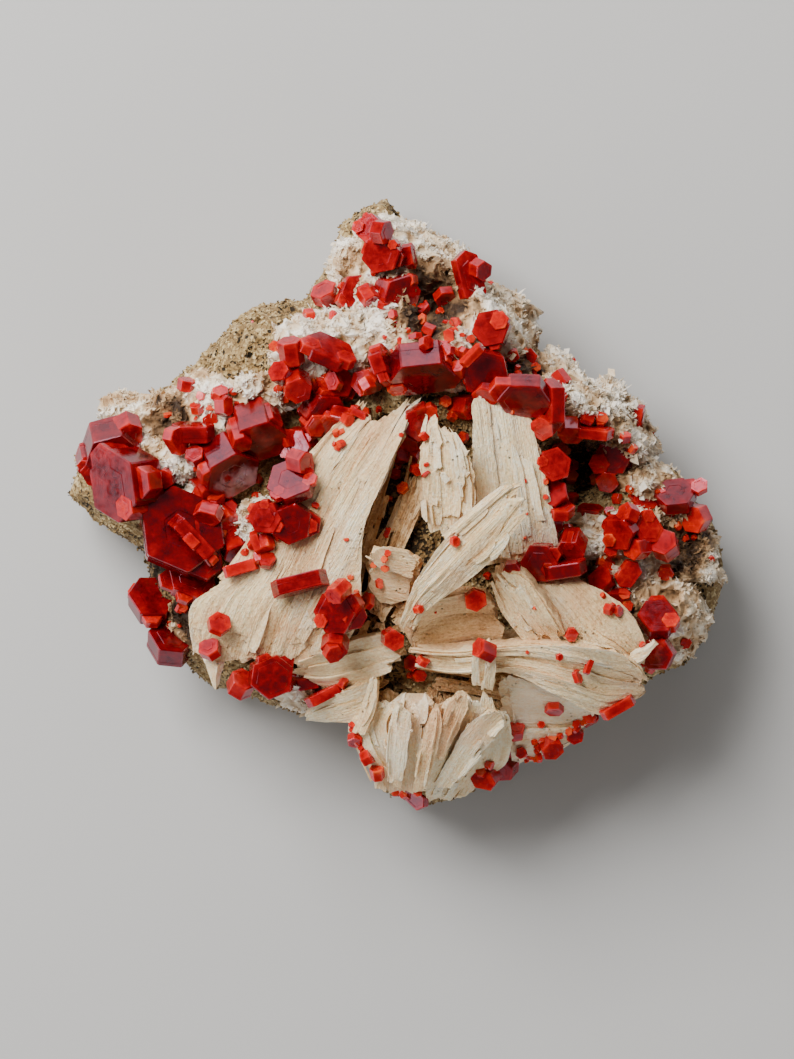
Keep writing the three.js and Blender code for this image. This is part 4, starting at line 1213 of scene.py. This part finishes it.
def crystal_profile(rows, apothem):
    """Height, inset, scale and painted edge glow of each ring, for every crystal, from bottom to top.

    Rings: two on the bottom face, the bevel, ledges on the sides, the bevel, then steps on the top.
    """
    count = len(rows)
    half = rows[:, 3] / 2
    bevel = np.minimum(0.06 * apothem + 0.03, 0.13)
    ledge = np.sort(chance.uniform(-0.75, 0.75, (count, 2)), axis=1) * half[:, None]
    depth = chance.uniform(0.0, 0.035, (count, 3)) * apothem[:, None]
    step = chance.uniform(0.01, 0.06, count) * np.where(chance.uniform(size=count) < 0.6, 1, -1)
    middle = chance.uniform(0.45, 0.8, count)
    tiny = 0.02
    ledges = [ledge[:, 0] - tiny, ledge[:, 0] + tiny, ledge[:, 1] - tiny, ledge[:, 1] + tiny]
    heights = [-half, -half, -half + bevel, *ledges, half - bevel, half, half, half + step, half + step]
    insets = [2 * bevel, bevel, *np.repeat(depth.T, 2, axis=0), *[depth[:, 2] + bevel] * 4]
    one = np.ones(count)
    scales = [0.5 * one, *[one] * 8, middle, middle - 0.02, 0.3 * one]
    edges = [e * one for e in (0, 0.6, 0.6, 0, 0, 0, 0, 0.6, 0.6, 0.05, 0.2, 0)]
    return (np.stack(part, 1) for part in (heights, insets, scales, edges))


def crystal_group(rows, seats, glow):
    """Every crystal as a stack of rings, turned and set in its place."""
    apothem, drawn = side_distances(rows)
    uneven = 1 + chance.uniform(-0.07, 0.03, (len(rows), 6))
    heights, insets, scales, edges = crystal_profile(rows, apothem)
    distances = (apothem[:, None] * uneven + drawn)[:, None] - insets[..., None]
    ledges = chance.uniform(0.3, 1, (len(rows), 1, 6))
    distances = (distances + insets[..., None] * (1 - ledges)) * scales[..., None]
    rings = prism_rings(distances, heights, SIDE_SHARES)
    around = np.cumsum(np.linalg.norm(rings - np.roll(rings, 1, axis=2), axis=-1), axis=2)
    inward = (1 - scales)[..., None] * apothem[:, None, None]
    apart = 13.7 * np.arange(len(rows))[:, None, None]  # so that no two crystals share their growth lines
    along = heights[..., None] + inward + apart
    # Painted glow: the crystal's own glow, raised on the bevel rings and at the corners as painted edge
    # light.
    painted_glow = glow[:, None, None] + 0.22 * edges[..., None] + 0 * around
    painted_glow[:, :, 0::4] += 0.1
    painted_glow[:, :, 3::4] += 0.1
    grain = stacked(around, along)
    return {"rings": stood(rings, rows, seats), "glow": np.clip(painted_glow, 0, 1), "grain": grain}


print("a crystal has", 6 * len(SIDE_SHARES), "points round each ring")

# %% Crystals of the growth table, with their parallel growths
WIDE = 3.3  # mm; wider crystals carry parallel growths


def parallel_growths(rows):
    """Three smaller crystals on every wide one: same orientation, moved out along its faces."""
    wide = rows[rows[:, 2] > WIDE]
    grown = []
    for share in (0.34, 0.46, 0.58):
        side = chance.integers(0, 6, len(wide))
        angle = np.radians(60 * side)
        out = wide[:, 2] * chance.uniform(0.26, 0.42, len(wide))
        length = wide[:, 3] * chance.uniform(0.4, 0.85, len(wide))
        up = chance.uniform(-0.25, 0.6, len(wide)) * wide[:, 3] / 2
        drawn = np.abs(np.sin(angle)) * wide[:, 8] * np.sign(np.sin(angle))
        own = stacked(out * np.cos(angle), out * np.sin(angle) + drawn, up)
        moved = np.einsum("nij,nj->ni", turned(wide), own)
        row = wide.copy()
        row[:, 0] += moved[:, 0]
        row[:, 1] += moved[:, 1]
        row[:, 7] += moved[:, 2]
        row[:, 2] *= share * chance.uniform(0.7, 1.1, len(wide))
        row[:, 3] = length
        row[:, 8] = wide[:, 8] * chance.uniform(0, 0.3, len(wide))
        grown.append(row)
    return np.concatenate([rows, *grown])


def painted_crystal_glow(rows):
    """Painted glow: small and thin crystals, which let more light through, are painted brighter: 0.2 for the
    largest, 0.75 for the smallest.
    """
    size = rows[:, 2] + rows[:, 8] * 0.6
    return np.clip(0.2 + 0.11 * (5.4 - size) + chance.normal(0, 0.06, len(rows)), 0.12, 0.8)


def crystals_mesh(name, rows, seats):
    """One mesh of detailed crystals, each with its own painted glow."""
    return stacks_mesh(name, crystal_group(rows, seats, painted_crystal_glow(rows)))


crystal_total = 0
for name, table in CRYSTALS.items():
    rows = crystal_rows(table)
    seat = frame_box(name)[1][2] - plain_corners(rows)[..., 2].max()
    rows[:, :2] += slide[:2]
    rows = parallel_growths(rows)
    mesh = crystals_mesh(name + "_crystals", rows, np.full(len(rows), seat))
    piece = add_piece("crystals_" + name, mesh, vanadinite, "vanadinite", name)
    crystal_total += len(rows)
print(crystal_total, "crystals and parallel growths in", len(CRYSTALS), "pieces")

# %% Small crystals placed one by one: x, y and width, or a whole row of the growth table
SINGLE = [
    (-24, 2.5, 2.4), (-21, 4.7, 2.2), (-18.5, 11.2, 1.6), (-23, 6.2, 2.2), (-19.5, 8.5, 1.5),
    (-20.9, 9.7, 1.7), (-19.6, -1.3, 2.6), (-13.5, -4.3, 1.8), (-13.4, -6.2, 1.8), (-6.6, -15.6, 2),
    (-3, -10.4, 1.6), (-5.6, -19, 1.4), (-10, 4, 2.4), (-11.5, 6.5, 1.6), (-4, 8.8, 1.8),
    (-9.2, 19.3, 1.8), (-6.6, 19.3, 0.9), (-6.5, 12.3, 1.8), (-3.1, 11.9, 1.8), (-1.6, 28, 2.6),
    (-3, 21.4, 2.2), (5, 21.4, 2.6), (2.6, 20.1, 1.6), (4.5, 19.8, 0.9), (8.7, 24.2, 2.4),
    (3, 16.2, 1.6), (5.2, 15.5, 1.5), (1.9, 16.9, 1.4), (6.3, 13.5, 1.6), (7, 9.8, 2.8),
    (12, 15.2, 1.6), (13.8, 15, 2.2), (17.1, 5.8, 2), (19.8, 8.6, 1.3), (21.3, 8.3, 1.3),
    (16.5, -2.7, 2), (18.5, 0.2, 1.3), (11.8, -7, 1.6), (31.8, 1.5, 1.8), (22.3, -5.2, 1.6),
    (21.8, -6.6, 1.6), (24, -1.4, 2.4), (22.9, -9.9, 2.4), (21.9, -11.2, 1.4), (22.9, -11.4, 1.3),
    (24, -11, 1.4), (24.1, -7.6, 2.5), (28.1, -7.5, 1.8), (33, -6.1, 0.9), (30.3, -14.9, 1.4),
    (-0.5, -14.3, 2.4), (8.1, -10.2, 2.6), (9, -15.4, 2.1), (5.9, -4.2, 1), (9.4, -7.8, 0.9),
    (2.2, -11.2, 1), (18, -13.8, 1.4), (18.6, -18.2, 1.1), (16.7, -16.1, 0.8), (15.1, -23.5, 0.9),
    (13, -26.4, 1.2), (16.4, -21.7, 2), (12.4, -24.1, 2.3), (11.9, -26.2, 1.6), (9.4, -29, 2.4),
    (18.7, -24.6, 2), (16.2, -25.8, 2.6), (20.4, -23, 2), (-0.8, -31.3, 1.8), (2.1, -31.5, 2.2),
    (0.5, 4.7, 1.8), (1.9, 4.8, 1.4), (2, 3.2, 1.4), (1.4, 6.3, 2.4), (5, 10.3, 1.4), (5.7, 8.8, 1.2),
    (6.9, 6.6, 1.4), (0.6, 1.3, 1.2), (-0.8, 0.2, 0.7), (-1, -3.3, 0.8), (-8.4, -0.5, 0.7),
    (-2.1, -28.5, 1.6), (-3.1, -26.9, 1.8), (-4.4, -25, 1.8), (1.6, -17, 1.9), (2.7, -16.6, 1.5),
    (2.2, -18.2, 1.6),
]
DRAWN = [
    (-20.1, 1.6, 2.8, 3.4, 48, 312, 0, 0.6), (-18, -1.6, 2.6, 3, 42, 305, 0, 0.6),
    (-22, 12.2, 2.2, 1.2, 74, 80, 0, 0.8), (-18.4, -12.8, 2.6, 1.2, 28, 60, 8, 0.5),
    (-19.4, -15.4, 2.6, 1.3, 36, 120, 4, 0.5), (-16.1, -7, 1.4, 1.2, 82, 286, 0, 0.5, 1.2),
    (-14.4, -4.3, 1.8, 0.9, 76, 20, 0, 0.5, 0.4), (-9.3, -18.9, 2, 1.3, 74, 100, 0, 0.5, 0.5),
    (-5.9, -9.3, 2.2, 2.2, 46, 225, 0, 1.4), (1.3, 25.6, 1.8, 1.1, 70, 10, 0, 0.6, 0.5),
    (25.5, 8.7, 2, 1, 78, 350, 0, 0.6, 0.6), (20.4, -1, 2.2, 0.9, 66, 86, 0, 0.5, 0.3),
    (22.9, -21.4, 1.6, 1.1, 70, 120, 0, 0.2, 1.2), (7.7, 14.9, 1.2, 0.8, 60, 135, 0, 1.6, 0.9),
    (19.8, -16.9, 0.8, 0.6, 70, 160, 0, 0.3, 0.7),
]
CLUSTERS = [
    (-19.5, 0.5, 5, 6.5, 0, 26, 0.7, 2.0), (-19.5, 9.5, 5, 3.4, 0, 12, 0.6, 1.6),
    (-26.8, -1, 2.4, 5, 0, 9, 0.7, 1.8), (-23.6, -12.4, 3.6, 3.2, 0, 9, 0.6, 1.6),
    (-13, -18.8, 4.6, 1.5, -5, 12, 0.6, 1.6), (-6.5, 9.5, 5.2, 4.2, 20, 26, 0.6, 1.7),
    (3.4, 13.8, 7.6, 2.0, 4, 44, 0.6, 2.0), (13.2, 12, 4.4, 3.6, -30, 24, 0.6, 1.9),
    (-10.6, 14, 2.4, 3.6, 0, 10, 0.6, 1.5), (-1, 20.5, 3.4, 5.6, 12, 18, 0.5, 1.6),
    (5.2, 17.6, 4.6, 2.6, 0, 14, 0.5, 1.5), (8.4, 22.8, 2, 2.4, 0, 5, 0.5, 1.2),
    (16.8, 3.4, 2.0, 7, 8, 26, 0.6, 1.8), (21.5, 5, 4.4, 3.6, 0, 10, 0.5, 1.4),
    (27.5, -1.6, 5.6, 3.4, 0, 20, 0.6, 1.7), (16.6, -6, 4, 2, 0, 9, 0.5, 1.4),
    (23, -9.5, 2, 3, 0, 9, 0.5, 1.4), (-13.2, 0, 2, 4.2, 0, 6, 0.5, 1.3),
    (-15, -5, 2, 1.4, -20, 8, 0.5, 1.2), (-5.6, -11.6, 1.6, 3.2, 0, 6, 0.5, 1.2),
    (-2.8, -8, 2, 3.6, -30, 7, 0.4, 1.0), (1.4, 4.4, 2, 3.4, 0, 9, 0.5, 1.3),
    (-3.8, -26.8, 1.0, 4.6, 24, 26, 0.5, 1.2), (1, -31.4, 3, 0.8, 0, 16, 0.5, 1.3),
    (17.4, -25, 6.4, 1.2, 27, 42, 0.5, 1.4), (10.8, -28.6, 2.6, 1.6, 30, 18, 0.5, 1.5),
    (27, -14.6, 2.6, 3.2, 0, 6, 0.5, 1.4), (2, -17.3, 1.2, 1.2, 0, 6, 0.4, 0.8),
    (2, -6, 20, 16, 0, 4, 0.25, 0.5), (0, 6, 28, 20, 0, 14, 0.25, 0.7),
]  # middle x, y, half-widths, turn, how many, smallest and largest width
RAY_TOP = 60  # mm, above everything
LOWEST_SEAT = 3  # mm


def scattered(clusters):
    """Places and widths inside every cluster's ellipse, with more small ones than large ones."""
    parts = []
    for x, y, wide, high, turn, count, smallest, largest in clusters:
        angle, away = chance.uniform(0, 2 * np.pi, count), chance.uniform(0, 1, count) ** 0.6
        across, up = wide * away * np.cos(angle), high * away * np.sin(angle)
        c, s = math.cos(math.radians(turn)), math.sin(math.radians(turn))
        width = smallest + (largest - smallest) * chance.uniform(0, 1, count) ** 1.8
        parts.append(stacked(x + across * c - up * s, y + across * s + up * c, width))
    return np.concatenate(parts)


def ground_under(pieces):
    """A search tree over the pieces, for finding the first surface met from above."""
    points, faces, shift = [], [], 0
    for piece in pieces:
        points.append(corners_of(piece) / MM)
        faces += [[corner + shift for corner in face.vertices] for face in piece.data.polygons]
        shift += len(piece.data.vertices)
    return BVHTree.FromPolygons(np.concatenate(points).tolist(), faces)


def seats_of(tree, x, y):
    """The height at which each x, y first meets the specimen from above, and which of them do."""
    heights, kept = [], []
    for number, (px, py) in enumerate(zip(x, y)):
        place, _, _, _ = tree.ray_cast(Vector((px, py, RAY_TOP)), Vector((0, 0, -1)))
        if place is not None and place.z > LOWEST_SEAT:
            heights.append(place.z)
            kept.append(number)
    return np.array(heights), np.array(kept)


def dressed_rows(x, y, width):
    """Rows for crystals known only by place and width: tablets and stubby prisms, turned at random."""
    count = len(x)
    length = width * chance.uniform(0.35, 0.95, count)
    lean = chance.uniform(8, 78, count)
    toward, turn = chance.uniform(0, 360, count), chance.uniform(0, 60, count)
    drawn = width * np.clip(chance.normal(0.02, 0.14, count), 0, 0.4)
    return stacked(x, y, width, length, lean, toward, turn, 0.22 * width, drawn)


solid_starts = ("sandstone_matrix", "snow_", "leaves_", "bed_")
barite_and_rock = [piece for piece in bpy.data.objects if piece.name.startswith(solid_starts)]
red_ones = [piece for piece in bpy.data.objects if piece.name.startswith("crystals_")]
bare_tree = ground_under(barite_and_rock)
tree = ground_under(barite_and_rock + red_ones)

single = np.array(SINGLE)
drawn_rows = crystal_rows(DRAWN)
rows = np.concatenate([dressed_rows(*single.T), drawn_rows])
rows[:, :2] += slide[:2]
seats, kept = seats_of(tree, rows[:, 0], rows[:, 1])
rows = rows[kept]
mesh = crystals_mesh("single_small_crystals", rows, seats)
piece = add_piece("small_crystals", mesh, vanadinite, "vanadinite")
print(len(rows), "small crystals placed one by one:", triangles(piece), "triangles")

# %% The druse: hundreds of crystals of a millimetre or so, each a plain prism


def simple_group(rows, seats, glow):
    """Plain prisms with a bevel at each end: four rings of six corners."""
    apothem, drawn = side_distances(rows)
    distances = apothem[:, None] * (1 + chance.uniform(-0.12, 0.08, (len(rows), 6))) + drawn
    bevel = 0.08 * apothem
    heights = rows[:, 3, None] / 2 * np.array([-1, -1, 1, 1]) + bevel[:, None] * np.array([0, 1, -1, 0])
    insets = bevel[:, None] * np.array([1, 0, 0, 1])
    rings = prism_rings(distances[:, None] - insets[..., None], heights, np.zeros(1))
    height = rings[..., 2]
    around = 2.0 * np.arange(6) * apothem[:, None, None] / 3
    grain = stacked(around, height + 3.1 * np.arange(len(rows))[:, None, None])
    # Painted glow, raised on the bevelled rings at both ends as painted edge light.
    painted_glow = glow[:, None, None] + 0.18 * np.array([1, 0.4, 0.4, 1])[:, None] + 0 * height
    return {"rings": stood(rings, rows, seats), "glow": np.clip(painted_glow, 0, 1), "grain": grain}


druse = scattered(CLUSTERS)
druse[:, :2] += slide[:2]
seats, kept = seats_of(bare_tree, druse[:, 0], druse[:, 1])
rows = dressed_rows(*druse[kept].T)
mesh = stacks_mesh("druse", simple_group(rows, seats, painted_crystal_glow(rows)))
piece = add_piece("druse_crystals", mesh, vanadinite, "vanadinite")
print(len(rows), "crystals in the druse:", triangles(piece), "triangles")

# %% [markdown]
# ## Stage, light and camera
#
# The specimen lies on a pale table. The broad key and fill bring out the colours and cast the
# shadows, but make no reflections, as if they were polarised, so that crystal faces stay deep red.
# The shine comes from two low strips, beyond the top edge and at the left, which turn the faces that
# lean that way dusty pink, and from two thin tubes above them, which draw bright lines on edges.

# %% Stage, lights and camera
CAMERA_HEIGHT = 500.0  # mm above the table
MID_HEIGHT = 15.0
VIEW_HEIGHT = 111.2  # mm from bottom to top of the view, at mid-height
LIGHTS = [
    ("key", 5.3, (300, 300), (-230, 250, 380), False),
    ("north_tube", 0.4, (600, 24), (-60, 370, 280), True),
    ("west_tube", 0.3, (500, 24), (-380, 60, 260), True),
    ("north_strip", 0.5, (520, 160), (-60, 430, 95), True),
    ("west_strip", 0.35, (420, 160), (-430, 0, 95), True),
    ("front_fill", 0.9, (500, 220), (140, -430, 200), False),
]  # name, watts, size and place in mm, and whether it shows in reflections


def soft_light(name, watts, size_mm, place_mm, glint):
    """A rectangular softbox at a place, aimed at the middle of the specimen."""
    data = bpy.data.lights.new(name, "AREA")
    data.energy = watts
    data.shape = "RECTANGLE"
    data.size, data.size_y = size_mm[0] * MM, size_mm[1] * MM
    lamp = bpy.data.objects.new(name, data)
    lamp.location = Vector(place_mm) * MM
    aim = (Vector((0, 0, MID_HEIGHT)) - Vector(place_mm)).to_track_quat("-Z", "Y")
    lamp.rotation_euler = aim.to_euler()
    lamp.visible_glossy = glint
    bpy.context.scene.collection.objects.link(lamp)


bpy.ops.mesh.primitive_plane_add(size=3.0, location=(0, 0, 0))
floor = bpy.context.object
floor.name = "table"
pale, tree, shader = new_material("pale_table", 0.8)
shader.inputs["Base Color"].default_value = linear("#BDBBB8")
floor.data.materials.append(pale)
floor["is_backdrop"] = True

for row in LIGHTS:
    soft_light(*row)

world = bpy.data.worlds.new("studio")
bpy.context.scene.world = world
world.use_nodes = True
backdrop = world.node_tree.nodes["Background"]
backdrop.inputs["Color"].default_value = linear("#D9DBDE")
backdrop.inputs["Strength"].default_value = 0.12

lens = bpy.data.cameras.new("camera")
lens.sensor_fit = "VERTICAL"
lens.sensor_height = 36.0
lens.lens = 36.0 * (CAMERA_HEIGHT - MID_HEIGHT) / VIEW_HEIGHT
camera = bpy.data.objects.new("camera", lens)
camera.location = Vector((-0.1, -2.85, CAMERA_HEIGHT)) * MM
bpy.context.scene.collection.objects.link(camera)
bpy.context.scene.camera = camera
print("focal length", round(lens.lens, 1), "mm")

# %% Check the size against the frame and finish
low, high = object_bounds()
over = [np.array(low - cad_low) / MM, np.array(high - cad_high) / MM]
print("visual minus CAD, mm:", *(ends.round(2) for ends in over))
